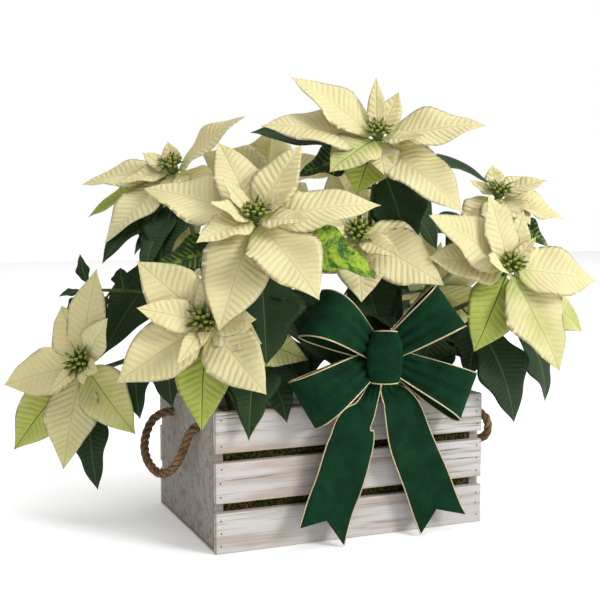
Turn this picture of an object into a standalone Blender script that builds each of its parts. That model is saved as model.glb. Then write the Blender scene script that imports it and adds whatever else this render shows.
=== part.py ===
# Six poinsettias with cream bracts in two growing pots, packed with moss in a slatted crate with rope handles
# and a velvet bow.
# The origin is the middle of the crate's underside, +X runs along its length and -Y is the side with the bow.
import math
import random
from typing import NamedTuple

import bmesh
import bpy
from mathutils import Matrix, Vector, noise
from mathutils.bvhtree import BVHTree

MM = 0.001
GAP = 0.0003  # left between pieces that touch
MERGE = 1e-6
X, Y, Z = Vector((1, 0, 0)), Vector((0, 1, 0)), Vector((0, 0, 1))

# Crate
CRATE_LENGTH = 0.320
CRATE_WIDTH = 0.218
CRATE_HEIGHT = 0.150
SLAT_HEIGHT = 0.044
SLAT_THICKNESS = 0.008
SLATS_PER_SIDE = 3
END_THICKNESS = 0.012
PANEL_THICKNESS = 0.0035
WOOD_BEVEL = 0.0008

# Rope handles: the hand-chosen route of each, from its back hole to its front hole, in millimetres
ROPE_DIAMETER = 0.010
ROPE_HOLE_DIAMETER = 0.012
ROPE_HOLE_Y = 0.050
ROPE_HOLE_Z = 0.124
ROPE_ROUTES = {
    "left": (
        (-148, 50, 124), (-154, 50, 124), (-160, 50, 124), (-171, 51, 122.5), (-182, 53, 116), (-191, 49, 103),
        (-197, 38, 87), (-197, 20, 73), (-191, -3, 65.5), (-183, -23, 73), (-177, -36, 89), (-173, -44.5, 105),
        (-169, -49, 118), (-162, -50, 123.7), (-155, -50, 124), (-148, -50, 124),
    ),
    "right": (
        (148, 50, 124), (154, 50, 124), (160, 50, 124), (170, 50, 121), (179, 47, 112), (186, 40, 100),
        (191, 24, 87), (194, 0, 80), (193, -28, 80), (190, -54, 84), (187.5, -72, 91), (186.5, -80, 102),
        (185, -78, 113), (179, -67, 121), (170, -55, 124), (162, -50.3, 124), (155, -50, 124), (148, -50, 124),
    ),
}
ROPE_POINTS_PER_SPAN = 2
KNOT_RADIUS = 0.009
KNOT_LENGTH = 0.012
KNOT_BEVEL = 0.003

# Growing pots, soil and moss
POT_X = 0.074
POT_TOP_RADIUS = 0.066
POT_LIP_RADIUS = 0.0675
POT_LIP_HEIGHT = 0.010
POT_BASE_RADIUS = 0.050
POT_HEIGHT = 0.110
POT_WALL = 0.0015
POT_STEPS = 12
SOIL_BELOW_RIM = 0.010
SOIL_DOME = 0.004
STEM_IN_SOIL = 0.030
STEM_HOLE_GAP = 0.0006
MOSS_TOP = 0.113
MOSS_LUMP = 0.004
MOSS_LUMP_SIZE = 0.030
MOSS_CELLS = (5, 3, 2)

# Plants
STEM_RADIUS = 0.0038
BRANCH_RADIUS = 0.0029
SHOOT_RADIUS = 0.0018
BRANCH_POINTS_PER_SPAN = 2
BRANCH_END = 0.006  # the straight end under a flower head
HEAD_HEIGHT = 0.024
HEAD_TOP_RADIUS = 0.0044
HEAD_BASE_RADIUS = 0.0032
BLADE_HALF_THICKNESS = 0.0005
STALK_HALF_THICKNESS = 0.0011
BRACT_STALK = 0.0030
BRACT_STALK_SHARE = 0.06
LEAF_STALK = 0.0026
LEAF_STALK_SHARE = 0.24
BLADE_ROWS = (0, 0.18, 0.44, 0.75, 1)
SMALL_BLADE_ROWS = (0, 0.25, 0.6, 1)
SMALL_BLADE = 0.095
CLEARANCE = 0.0012  # kept round a blade when it is bent clear of the other nodes
BENDS = (0, 7, -7, 14, -14, 21, -21, 30, -30, 40)

# How far a blade's edges stand up from its rib and ripple, as shares of its half width
BRACT_FOLD = 0.12
BRACT_WAVE = 0.13
BRACT_PHASE = 1.7  # from one bract to the next
LEAF_FOLD = 0.15
LEAF_WAVE = 0.15
LEAF_LOBE = 0.12  # how far the points on a leaf's edge stand out
LEAF_LOBE_PITCH = 0.43
LEAF_LOBE_START = 0.44
LEAF_PHASE = 2.3
RIPPLES = 1.9  # along each edge
RIPPLE_SHIFT = 2.0  # between a blade's two edges

# Bracts spring from the head in steps, long ones lowest
BRACT_DEPTH = 2.5 * MM
BRACT_DEPTH_SHARE = 0.06
BRACT_STEP = 2.0 * MM
BRACT_ROOT = 1.5 * MM

# Leaves that a rule adds round the branches
GOLDEN_ANGLE = 137.5
MORE_LEAF_START = 0.12
MORE_LEAF_STRETCH = 0.62
MORE_LEAF_LENGTH = (0.070, 0.100)
MORE_LEAF_DROOP = (-25, 15)
MORE_LEAF_WIDTH = 0.5
MORE_LEAF_ARCH = 0.08

# Buds in the middle of each flower head
BUDS = 5  # round the middle one
BUD_LENGTH = 0.013
BUD_BASE_RADIUS = 0.0011
BUD_TOP_RADIUS = 0.0030
BUD_SPREAD = 48
SPIKES = 2
SPIKE_LENGTH = 0.018
SPIKE_RADIUS = 0.0016
SPIKE_SPREAD = 66
BUD_FOOT_RADIUS = 0.0036
BUD_FOOT_HEIGHT = 0.0035
BUD_SEAT_RADIUS = 0.0024
BUD_SEAT_HEIGHT = 0.0019
BUD_TURN = 20

# Bow
RIBBON_WIDTH = 0.056
RIBBON_THICKNESS = 0.0012
BOW_CENTRE = Vector((0.021, -0.130, 0.203))
BOW_CORE = Vector((0.011, 0.009, 0.014))
PICK_RADIUS = 0.0012
PICK_TOP = Vector((0.021, -0.1195, 0.204))
PICK_TIP = Vector((0.021, -0.066, 0.085))
LOOP_STEPS = 8
TAIL_NOTCH = 0.018

WOOD = (0.52, 0.47, 0.40)
ROPE = (0.28, 0.16, 0.08)
POT_PLASTIC = (0.05, 0.06, 0.05)
SOIL = (0.035, 0.022, 0.015)
MOSS = (0.06, 0.07, 0.025)
LEAF_GREEN = (0.035, 0.095, 0.03)
CREAM = (0.85, 0.78, 0.52)
BUD_GREEN = (0.32, 0.38, 0.05)
VELVET = (0.012, 0.05, 0.02)
PICK_GREEN = (0.05, 0.16, 0.06)


class Bloom(NamedTuple):
    """A flower head: its middle in millimetres, where it faces, and a row for each bract.

    heading turns from the bow's side towards +X and tilt lifts it above level, in degrees.
    A bract is its clock angle as its face is seen, its length, its lift off the head's plane, its width
    and its arch.
    """
    name: str
    middle: tuple
    heading: float
    tilt: float
    bracts: tuple


class Leaf(NamedTuple):
    """A leaf set by hand, in millimetres and degrees.

    It grows at a share of a branch's length, and its face looks the way that heading and tilt give.
    """
    branch: int
    height: float
    tip: tuple
    width: float
    arch: float
    heading: float
    tilt: float


class Shoot(NamedTuple):
    """A thin side shoot: the branch it grows on, how far up, and its end in millimetres."""
    branch: int
    height: float
    end: tuple


class Plant(NamedTuple):
    """A plant: where it stands and forks in millimetres, its two flower heads, side shoots and leaves."""
    name: str
    foot: tuple
    fork: tuple
    blooms: tuple
    shoots: tuple
    leaves: tuple
    more_leaves: int


class Blade(NamedTuple):
    """A bract or a leaf: its run, the way its face looks, its outline and how it bends."""
    root: Vector
    tip: Vector
    face: Vector
    width: float
    stalk: float
    stalk_share: float
    arch: float
    fold: float
    wave: float
    lobe: float
    phase: float


class Loop(NamedTuple):
    """A ribbon loop: its fold from the bow's middle, its width's direction and its bellies, in millimetres."""
    out: tuple
    across: tuple
    front: float
    back: float
    pinch: float


LOOPS = (
    Loop((-80, 6, 48), (29, 10, 44), 30, 12, 0.3),
    Loop((83, 6, 48), (-27, 18, 44), 30, 12, 0.3),
    Loop((-90, 6, -49), (-22, 12, 43), 30, 10, 0.3),
    Loop((103, 6, -52), (22, 2, 51), 30, 10, 0.3),
    Loop((-8, -24, 1), (0, 0, 27), 19, 19, 0.7),
)
TAILS = (
    ((17, -130, 192, 14), (10, -131, 168, 17), (-2, -137, 147, 27), (-14, -137, 132, 44), (-17, -133, 110, 54),
     (-26, -127, 71, 56), (-38, -127, 42, 56), (-51, -135, 14, 57)),
    ((25, -130, 192, 14), (29, -131, 167, 21), (36, -137, 155, 35), (44, -137, 138, 45), (56, -133, 105, 52),
     (78, -127, 61, 55), (91, -127, 28, 57), (96, -135, 11, 59)),
)

BLOOMS = {
    "front_left": Bloom("front_left", (-112, -102, 354), -25, 50, (
        (294, 139, -5, 74, 0.05), (334, 106, 12, 54, 0.05), (35, 90, 25, 52, 0.05),
        (78, 134, -5, 66, 0.05), (146, 124, -12, 76, 0.05), (195, 134, -22, 78, 0.05),
        (304, 50, 35, 20, 0.0), (254, 53, 30, 32, 0.0), (227, 77, 5, 44, 0.04),
        (71, 47, 30, 18, 0.0), (116, 67, 15, 36, 0.0),
    )),
    "middle_top": Bloom("middle_top", (53, -53, 444), -22, 48, (
        (297, 117, 20, 56, 0.05), (269, 133, 5, 66, 0.05), (298, 61, 20, 34, -0.04),
        (358, 64, 40, 22, -0.04), (27, 60, 20, 32, -0.04), (90, 122, 5, 66, 0.05),
        (120, 60, 20, 26, -0.04), (134, 134, -18, 72, 0.05), (223, 82, -5, 58, 0.05),
        (174, 56, -18, 44, 0.03), (203, 76, -32, 60, 0.03),
    )),
    "back_left_top": Bloom("back_left_top", (-149, 82, 408), -42, 52, (
        (265, 124, -8, 50, 0.05), (72, 111, 25, 54, 0.05), (339, 34, 30, 24, -0.04),
        (208, 122, -15, 58, 0.05), (242, 64, 0, 34, 0.03), (288, 44, 15, 26, 0.0),
        (120, 95, -10, 50, 0.05), (160, 70, -10, 44, 0.05), (253, 129, -22, 46, 0.05),
    )),
    "front_corner": Bloom("front_corner", (-170, -110, 246), -30, 18, (
        (309, 93, 10, 60, 0.05), (275, 71, 25, 36, 0.03), (233, 110, 0, 64, 0.05),
        (181, 112, -12, 60, 0.05), (138, 100, 0, 62, 0.05), (93, 61, 30, 34, 0.0),
        (358, 47, 20, 24, 0.0), (199, 63, 40, 22, 0.0), (175, 34, 30, 14, 0.0),
        (111, 64, 0, 44, 0.03), (104, 131, -40, 52, 0.05),
    )),
    "far_left": Bloom("far_left", (-266, 55, 187), -35, 15, (
        (10, 107, 10, 50, 0.05), (252, 95, 0, 56, 0.05), (221, 139, -15, 66, 0.05),
        (186, 122, -5, 64, 0.05), (138, 105, -5, 60, 0.05), (44, 73, 30, 36, 0.0),
        (334, 73, -5, 50, 0.03), (111, 51, 40, 22, 0.0), (211, 50, 35, 20, 0.0),
        (145, 45, 40, 18, 0.0),
    )),
    "front_middle": Bloom("front_middle", (15, -80, 333), -15, 25, (
        (182, 85, 5, 62, 0.05), (127, 112, 5, 68, 0.05), (139, 65, 30, 32, 0.0),
        (265, 34, 30, 16, 0.0), (106, 88, -5, 56, 0.05), (314, 57, 0, 44, 0.03),
        (235, 80, -5, 52, 0.03),
    )),
    "front_right": Bloom("front_right", (176, -139, 296), -5, 35, (
        (296, 114, 15, 64, 0.05), (277, 99, 0, 60, 0.05), (338, 84, 30, 48, 0.03),
        (19, 65, 25, 34, 0.0), (99, 109, -5, 70, 0.05), (50, 42, 40, 18, 0.0),
        (157, 129, -20, 78, 0.05), (210, 105, -30, 62, 0.05), (245, 80, 40, 36, 0.0),
        (107, 160, -35, 74, 0.05),
    )),
    "right_top": Bloom("right_top", (244, -7, 379), -15, 58, (
        (87, 62, 15, 34, 0.04), (103, 90, -18, 58, 0.05), (351, 38, 35, 30, -0.04),
        (241, 66, -25, 46, 0.05), (306, 40, 5, 26, 0.0), (150, 60, -15, 44, 0.05),
        (190, 74, -20, 50, 0.05), (50, 52, 5, 34, 0.0),
    )),
    "back_left": Bloom("back_left", (-110, 140, 325), -150, 45, (
        (20, 80, -5, 50, 0.05), (75, 92, 25, 56, 0.05), (130, 120, -12, 70, 0.05),
        (185, 125, -18, 70, 0.05), (235, 118, -10, 66, 0.05), (290, 110, 0, 62, 0.05),
        (340, 60, 30, 32, 0.0), (160, 60, 30, 32, 0.0), (55, 55, 32, 24, 0.0),
    )),
    "back_middle": Bloom("back_middle", (-18, 118, 402), 180, 55, (
        (10, 85, 5, 60, 0.05), (62, 112, -5, 64, 0.05), (118, 122, -10, 70, 0.05),
        (170, 128, -18, 74, 0.05), (222, 120, -12, 66, 0.05), (285, 112, -4, 64, 0.05),
        (330, 60, 30, 32, 0.0), (145, 62, 28, 32, 0.0), (250, 55, 32, 22, 0.0),
    )),
    "back_right": Bloom("back_right", (112, 125, 350), 160, 45, (
        (25, 85, 8, 60, 0.05), (80, 112, -4, 64, 0.05), (135, 122, -12, 70, 0.05),
        (182, 126, -18, 74, 0.05), (232, 116, -10, 64, 0.05), (290, 105, 0, 62, 0.05),
        (345, 58, 30, 32, 0.0), (110, 60, 30, 24, 0.0), (205, 56, 34, 22, 0.0),
    )),
    "far_right": Bloom("far_right", (214, 104, 262), 120, 30, (
        (15, 90, 8, 60, 0.05), (70, 112, -4, 64, 0.05), (125, 120, -10, 66, 0.05),
        (178, 118, -14, 70, 0.05), (230, 115, -8, 64, 0.05), (295, 100, 0, 60, 0.05),
        (345, 55, 30, 24, 0.0), (150, 58, 30, 24, 0.0), (260, 52, 34, 22, 0.0),
    )),
}

PLANTS = (
    Plant("plant_front_left", (-84, -24), (-90, -34, 170), ("front_left", "front_corner"), (), (
        Leaf(1, 0.80, (-111, -135, 204), 78, 0.08, -15, 20),
        Leaf(2, 0.10, (-130, -128, 122), 54, 0.30, -18, 40),
        Leaf(1, 0.14, (-84, -121, 144), 46, 0.25, -10, 40),
        Leaf(1, 0.70, (-219, -78, 303), 50, 0.08, -30, 45), Leaf(1, 0.94, (8, -88, 259), 54, 0.12, -12, 40),
        Leaf(1, 0.35, (-41, -84, 149), 50, 0.10, -12, 25), Leaf(1, 0.55, (7, -84, 164), 56, 0.10, -8, 25),
    ), 4),
    Plant("plant_far_left", (-96, 16), (-110, 28, 168), ("back_left_top", "far_left"),
          (Shoot(1, 0.30, (-250, 92, 265)),), (
        Leaf(2, 0.78, (-249, 50, 39), 46, 0.10, -35, 10), Leaf(1, 0.50, (-234, 96, 184), 70, 0.08, -40, 35),
        Leaf(1, 0.80, (-238, 60, 297), 52, 0.08, -40, 55), Leaf(1, 0.72, (-211, 0, 301), 40, 0.08, -40, 55),
        Leaf(2, 0.35, (-191, -60, 149), 50, 0.12, -40, 30), Leaf(2, 0.45, (-216, 0, 135), 38, 0.15, -40, 30),
        Leaf(3, 0.98, (-257, 90, 307), 16, 0.05, -40, 20), Leaf(3, 0.99, (-282, 90, 259), 14, 0.05, -40, 50),
        Leaf(3, 0.96, (-277, 92, 235), 18, 0.05, -40, 50), Leaf(3, 0.80, (-240, 84, 232), 22, 0.06, -40, 50),
        Leaf(3, 0.70, (-213, 78, 291), 24, 0.06, -40, 45), Leaf(3, 0.50, (-198, 52, 277), 24, 0.06, -40, 45),
        Leaf(1, 0.60, (-206, 40, 307), 26, 0.08, -40, 50), Leaf(1, 0.80, (-192, 0, 301), 50, 0.08, -38, 50),
    ), 4),
    Plant("plant_back_left", (-56, 22), (-54, 40, 180), ("back_left", "back_middle"), (), (), 6),
    Plant("plant_middle", (54, -18), (46, -26, 190), ("middle_top", "front_middle"), (), (
        Leaf(1, 0.82, (74, -104, 316), 60, 0.10, -22, 35), Leaf(1, 0.86, (-74, 20, 446), 50, 0.06, -22, 50),
        Leaf(1, 0.90, (226, -20, 388), 44, 0.06, -10, 60), Leaf(2, 0.60, (76, -90, 266), 36, 0.10, -20, 40),
        Leaf(1, 0.62, (127, -60, 311), 48, 0.10, -15, 45), Leaf(1, 0.76, (-24, 0, 396), 48, 0.08, -22, 50),
        Leaf(2, 0.45, (-63, -80, 161), 44, 0.12, -15, 25), Leaf(2, 0.75, (43, -92, 208), 56, 0.10, -15, 30),
        Leaf(2, 0.60, (66, -90, 224), 50, 0.10, -10, 30), Leaf(2, 0.42, (-1, -84, 180), 54, 0.10, -15, 25),
    ), 3),
    Plant("plant_front_right", (92, -24), (110, -34, 180), ("front_right", "right_top"), (), (
        Leaf(1, 0.45, (196, -120, 114), 60, 0.22, -12, 20), Leaf(1, 0.62, (273, -70, 125), 42, 0.15, -5, 25),
        Leaf(1, 0.88, (300, -76, 214), 44, 0.08, 0, 45), Leaf(2, 0.82, (315, -14, 309), 40, 0.08, 0, 50),
        Leaf(2, 0.86, (165, -30, 352), 46, 0.08, -20, 55), Leaf(1, 0.25, (172, -78, 182), 46, 0.15, -10, 40),
        Leaf(2, 0.60, (146, -20, 368), 46, 0.08, -20, 50), Leaf(1, 0.30, (115, -86, 152), 44, 0.12, -5, 25),
        Leaf(1, 0.50, (154, -88, 164), 46, 0.10, -5, 30), Leaf(1, 0.35, (90, -84, 174), 46, 0.10, -8, 25),
    ), 3),
    Plant("plant_back_right", (82, 24), (98, 44, 180), ("back_right", "far_right"), (), (), 6),
)


def new_collection(name, parent=None):
    collection = bpy.data.collections.new(name)
    parent = parent or bpy.context.scene.collection
    parent.children.link(collection)
    return collection


def add(name, data, collection, location=(0, 0, 0)):
    obj = bpy.data.objects.new(name, data)
    obj.location = location
    collection.objects.link(obj)
    return obj


def paint(obj, colour, roughness, metallic=0.0):
    """Give the object a plain material of its own."""
    material = bpy.data.materials.new(obj.name)
    material.use_nodes = True
    shader = material.node_tree.nodes["Principled BSDF"]
    shader.inputs["Base Color"].default_value = (*colour, 1)
    shader.inputs["Roughness"].default_value = roughness
    shader.inputs["Metallic"].default_value = metallic
    obj.data.materials.clear()
    obj.data.materials.append(material)
    return obj


def mesh_from(bm, name):
    mesh = bpy.data.meshes.new(name)
    bm.to_mesh(mesh)
    bm.free()
    return mesh


def evaluated_mesh(obj):
    """The object's mesh with its modifiers applied and loose caps welded."""
    graph = bpy.context.evaluated_depsgraph_get()
    mesh = bpy.data.meshes.new_from_object(obj.evaluated_get(graph))
    bm = bmesh.new()
    bm.from_mesh(mesh)
    bmesh.ops.remove_doubles(bm, verts=bm.verts, dist=MERGE)
    bm.to_mesh(mesh)
    bm.free()
    return mesh


def largest_body(mesh):
    """Keep the largest of the mesh's separate skins, which drops loose scraps and fills sealed hollows."""
    bm = bmesh.new()
    bm.from_mesh(mesh)
    unseen = set(bm.verts)
    skins = []
    while unseen:
        skin = set()
        edge_of_skin = [unseen.pop()]
        while edge_of_skin:
            vert = edge_of_skin.pop()
            skin.add(vert)
            for edge in vert.link_edges:
                other = edge.other_vert(vert)
                if other in unseen:
                    unseen.remove(other)
                    edge_of_skin.append(other)
        skins.append(skin)
    skins.sort(key=len)
    for skin in skins[:-1]:
        bmesh.ops.delete(bm, geom=list(skin), context="VERTS")
    bm.to_mesh(mesh)
    bm.free()


def fuse(name, meshes, collection):
    """Join the meshes into one body by a single Boolean union."""
    body = add(name, meshes[0], collection)
    others = new_collection(name + "_joined")
    for number, mesh in enumerate(meshes[1:]):
        add(f"{name}_{number}", mesh, others)
    union = body.modifiers.new("Union", "BOOLEAN")
    union.operation = "UNION"
    union.operand_type = "COLLECTION"
    union.collection = others
    mesh = evaluated_mesh(body)
    body.modifiers.clear()
    body.data = mesh
    for obj in list(others.objects):
        bpy.data.objects.remove(obj)
    bpy.data.collections.remove(others)
    largest_body(mesh)
    return body


def cut(obj, cutters):
    """Cut every object of the cutters' collection out of the object."""
    boolean = obj.modifiers.new("Cut", "BOOLEAN")
    boolean.operation = "DIFFERENCE"
    boolean.operand_type = "COLLECTION"
    boolean.collection = cutters


def hide_cutters(cutters):
    cutters.hide_render = True
    for obj in cutters.objects:
        obj.hide_render = True
        obj.display_type = "WIRE"


def cone(low, high, low_radius, high_radius, sides):
    """A closed cone or cylinder between two points."""
    axis = high - low
    place = Matrix.Translation((low + high) / 2) @ axis.to_track_quat("Z", "Y").to_matrix().to_4x4()
    bm = bmesh.new()
    bmesh.ops.create_cone(bm, cap_ends=True, segments=sides, radius1=low_radius, radius2=high_radius,
                          depth=axis.length, matrix=place)
    return mesh_from(bm, "cone")


def smooth_run(points, per_span):
    """Points along a smooth curve through the given points."""
    ends = [2 * points[0] - points[1], *points, 2 * points[-1] - points[-2]]
    run = []
    for before, start, end, after in zip(ends, ends[1:], ends[2:], ends[3:]):
        for step in range(per_span):
            t = step / per_span
            run.append(0.5 * (
                2 * start + (end - before) * t
                + (2 * before - 5 * start + 4 * end - after) * t ** 2
                + (3 * start - before - 3 * end + after) * t ** 3))
    run.append(points[-1].copy())
    return run


def tube(name, points, radius, bevel_resolution):
    """A round tube along the points, with closed ends."""
    curve = bpy.data.curves.new(name, "CURVE")
    curve.dimensions = "3D"
    curve.bevel_depth = radius
    curve.bevel_resolution = bevel_resolution
    curve.use_fill_caps = True
    spline = curve.splines.new("POLY")
    spline.points.add(len(points) - 1)
    for spot, point in zip(spline.points, points):
        spot.co = (*point, 1)
    return curve


def tube_mesh(points, radius):
    """A six-sided tube as a mesh, ready to be fused."""
    obj = add("tube", tube("tube", points, radius, 1), bpy.context.scene.collection)
    mesh = evaluated_mesh(obj)
    bpy.data.objects.remove(obj)
    return mesh


def turned(name, profile, collection, location=(0, 0, 0)):
    """A shape turned about the upright axis from a profile of radius and height that runs down its outside."""
    bm = bmesh.new()
    spots = [bm.verts.new((radius, 0, height)) for radius, height in profile]
    for start, end in zip(spots, spots[1:]):
        bm.edges.new((start, end))
    obj = add(name, mesh_from(bm, name), collection, location)
    screw = obj.modifiers.new("Screw", "SCREW")
    screw.steps = POT_STEPS
    screw.render_steps = POT_STEPS
    screw.use_merge_vertices = True
    screw.merge_threshold = 0.0001
    screw.use_smooth_shade = False
    return obj


def board(name, low, high, collection):
    """A board with eased edges between two opposite corners."""
    size = high - low
    bm = bmesh.new()
    bmesh.ops.create_cube(bm, size=1, matrix=Matrix.Diagonal((*size, 1)))
    obj = add(name, mesh_from(bm, name), collection, (low + high) / 2)
    bevel = obj.modifiers.new("Bevel", "BEVEL")
    bevel.width = WOOD_BEVEL
    bevel.segments = 1
    return paint(obj, WOOD, 0.85)


def make_crate(parts, cutters):
    """Two end boards, a bottom panel and three slats on each long side."""
    half_length = CRATE_LENGTH / 2
    half_width = CRATE_WIDTH / 2
    inner_y = half_width - SLAT_THICKNESS - GAP
    slat_pitch = (CRATE_HEIGHT - SLAT_HEIGHT) / (SLATS_PER_SIDE - 1)
    corner = Vector((half_length, inner_y, 0))
    board("bottom_panel", -corner, corner + Z * PANEL_THICKNESS, parts)
    for side_name, side in (("front", -1), ("back", 1)):
        for number in range(SLATS_PER_SIDE):
            z = number * slat_pitch
            ys = sorted((side * half_width, side * (half_width - SLAT_THICKNESS)))
            board(f"slat_{side_name}_{number + 1}",
                  Vector((-half_length, ys[0], z)), Vector((half_length, ys[1], z + SLAT_HEIGHT)), parts)
    holes = new_collection("handle_holes", cutters)
    for hole_name, side in (("front", -1), ("back", 1)):
        middle = Vector((0, side * ROPE_HOLE_Y, ROPE_HOLE_Z))
        reach = X * CRATE_LENGTH
        hole = cone(middle - reach, middle + reach, ROPE_HOLE_DIAMETER / 2, ROPE_HOLE_DIAMETER / 2, 12)
        add("handle_hole_" + hole_name, hole, holes)
    hide_cutters(holes)
    for side_name, side in (("left", -1), ("right", 1)):
        xs = sorted((side * half_length, side * (half_length - END_THICKNESS)))
        end = board(f"end_board_{side_name}", Vector((xs[0], -inner_y, PANEL_THICKNESS + GAP)),
                    Vector((xs[1], inner_y, CRATE_HEIGHT)), parts)
        cut(end, holes)


def make_handles(parts):
    """A rope loop through the two holes of each end board, with a knot on each end inside."""
    board_x = CRATE_LENGTH / 2 - END_THICKNESS - GAP
    for side_name, side in (("left", -1), ("right", 1)):
        route = [Vector(point) * MM for point in ROPE_ROUTES[side_name]]
        curve = tube(f"rope_{side_name}", smooth_run(route, ROPE_POINTS_PER_SPAN), ROPE_DIAMETER / 2, 2)
        paint(add(f"rope_{side_name}", curve, parts), ROPE, 0.95)
        for end_name, y in (("back", ROPE_HOLE_Y), ("front", -ROPE_HOLE_Y)):
            name = f"knot_{side_name}_{end_name}"
            middle = Vector((side * (board_x - KNOT_LENGTH / 2), y, ROPE_HOLE_Z))
            half = X * KNOT_LENGTH / 2
            knot = add(name, cone(-half, half, KNOT_RADIUS, KNOT_RADIUS, 8), parts, middle)
            bevel = knot.modifiers.new("Bevel", "BEVEL")
            bevel.width = KNOT_BEVEL
            bevel.segments = 1
            bevel.limit_method = "ANGLE"
            bevel.angle_limit = math.radians(60)
            paint(knot, ROPE, 0.95)


def pot_profile(clearance):
    """The outside of a growing pot, from its lip to the middle of its base, grown by the clearance."""
    base = PANEL_THICKNESS + GAP
    top = base + POT_HEIGHT
    return (
        (POT_LIP_RADIUS + clearance, top), (POT_LIP_RADIUS + clearance, top - POT_LIP_HEIGHT),
        (POT_TOP_RADIUS + clearance, top - POT_LIP_HEIGHT - clearance), (POT_BASE_RADIUS + clearance, base),
        (0, base),
    )


def make_pots(parts, cutters):
    """Two growing pots filled with soil, which has a hole for each plant's stem."""
    base = PANEL_THICKNESS + GAP
    top = base + POT_HEIGHT
    soil_top = top - SOIL_BELOW_RIM
    soil_base = base + POT_WALL + GAP
    shrink = POT_WALL + 2 * GAP
    base_slope = (POT_TOP_RADIUS - POT_BASE_RADIUS) / (POT_HEIGHT - POT_LIP_HEIGHT)
    soil_profile = (
        (0, soil_top + SOIL_DOME), (0.6 * POT_TOP_RADIUS, soil_top + SOIL_DOME / 2),
        (POT_TOP_RADIUS - shrink, soil_top), (POT_TOP_RADIUS - shrink, top - POT_LIP_HEIGHT),
        (POT_BASE_RADIUS - shrink + base_slope * (POT_WALL + GAP), soil_base), (0, soil_base),
    )
    for side_name, side in (("left", -1), ("right", 1)):
        place = (side * POT_X, 0, 0)
        pot = turned(f"pot_{side_name}", pot_profile(0), parts, place)
        wall = pot.modifiers.new("Wall", "SOLIDIFY")
        wall.thickness = POT_WALL
        wall.offset = -1
        paint(pot, POT_PLASTIC, 0.5)
        holes = new_collection(f"stem_holes_{side_name}", cutters)
        for plant in PLANTS:
            if plant.foot[0] * side > 0:
                foot = Vector((*plant.foot, 0)) * MM
                low = foot + Z * (soil_top - STEM_IN_SOIL - GAP)
                high = foot + Z * (soil_top + 2 * SOIL_DOME)
                radius = STEM_RADIUS + STEM_HOLE_GAP
                add("hole_" + plant.name, cone(low, high, radius, radius, 10), holes)
        hide_cutters(holes)
        soil = turned(f"soil_{side_name}", soil_profile, parts, place)
        cut(soil, holes)
        paint(soil, SOIL, 1.0)


def make_moss(parts, cutters):
    """Moss packed between the pots and the crate, with a lumpy skin."""
    inner = Vector((
        CRATE_LENGTH / 2 - END_THICKNESS - GAP, CRATE_WIDTH / 2 - SLAT_THICKNESS - GAP,
        (MOSS_TOP - PANEL_THICKNESS - GAP) / 2))
    bm = bmesh.new()
    bmesh.ops.create_cube(bm, size=2, matrix=Matrix.Diagonal((*inner, 1)))
    for axis, cells in zip((X, Y, Z), MOSS_CELLS):
        edges = [e for e in bm.edges if abs((e.verts[0].co - e.verts[1].co).normalized().dot(axis)) > 0.9]
        bmesh.ops.subdivide_edges(bm, edges=edges, cuts=cells - 1, use_grid_fill=True)
    bm.normal_update()
    for vert in bm.verts:
        if vert.co.z > -0.99 * inner.z:
            lump = 0.5 + 0.5 * noise.noise(vert.co / MOSS_LUMP_SIZE)
            vert.co -= vert.normal * MOSS_LUMP * min(1, max(0, lump))
    bmesh.ops.triangulate(bm, faces=bm.faces)
    moss = add("moss", mesh_from(bm, "moss"), parts, (0, 0, PANEL_THICKNESS + GAP + inner.z))
    hollows = new_collection("moss_hollows", cutters)
    lip, under_lip, shoulder, foot = pot_profile(GAP)[:4]
    hollow_profile = ((0, CRATE_HEIGHT), (lip[0], CRATE_HEIGHT), under_lip, shoulder, (foot[0], 0), (0, 0))
    for side_name, side in (("left", -1), ("right", 1)):
        turned("pot_hollow_" + side_name, hollow_profile, hollows, (side * POT_X, 0, 0))
    way = (PICK_TOP - PICK_TIP).normalized()
    add("pick_hole", cone(PICK_TIP - way * GAP, PICK_TOP, PICK_RADIUS + GAP, PICK_RADIUS + GAP, 8), hollows)
    hide_cutters(hollows)
    cut(moss, hollows)
    paint(moss, MOSS, 1.0)


def outline(q):
    """Half the width of a bract or leaf at the share q of its blade, as a share of its widest."""
    widest = 0.2727
    return max(0, q) ** 0.75 * max(0, 1 - q) ** 1.2 / widest


def blade_point(blade, t, s):
    """The point at the share t of a blade's length and s of its half width, and its face's direction."""
    run = blade.tip - blade.root
    length = run.length
    along = run / length
    face = (blade.face - blade.face.dot(along) * along).normalized()
    across = along.cross(face)
    q = (t - blade.stalk_share) / (1 - blade.stalk_share)
    lobes = 1 + blade.lobe * math.cos(2 * math.pi * (q - LEAF_LOBE_START) / LEAF_LOBE_PITCH)
    half = outline(q) * blade.width / 2 * lobes
    if q < 0.5:
        half = max(half, blade.stalk / 2)
    spread = max(0, min(1, q * 4))
    side_shift = RIPPLE_SHIFT if s > 0 else 0
    ripple = math.sin(2 * math.pi * RIPPLES * t + blade.phase + side_shift)
    rise = blade.arch * length * 4 * t * (1 - t) + abs(s) * half * spread * (blade.fold + blade.wave * ripple)
    return blade.root + run * t + across * s * half + face * rise, face


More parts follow.
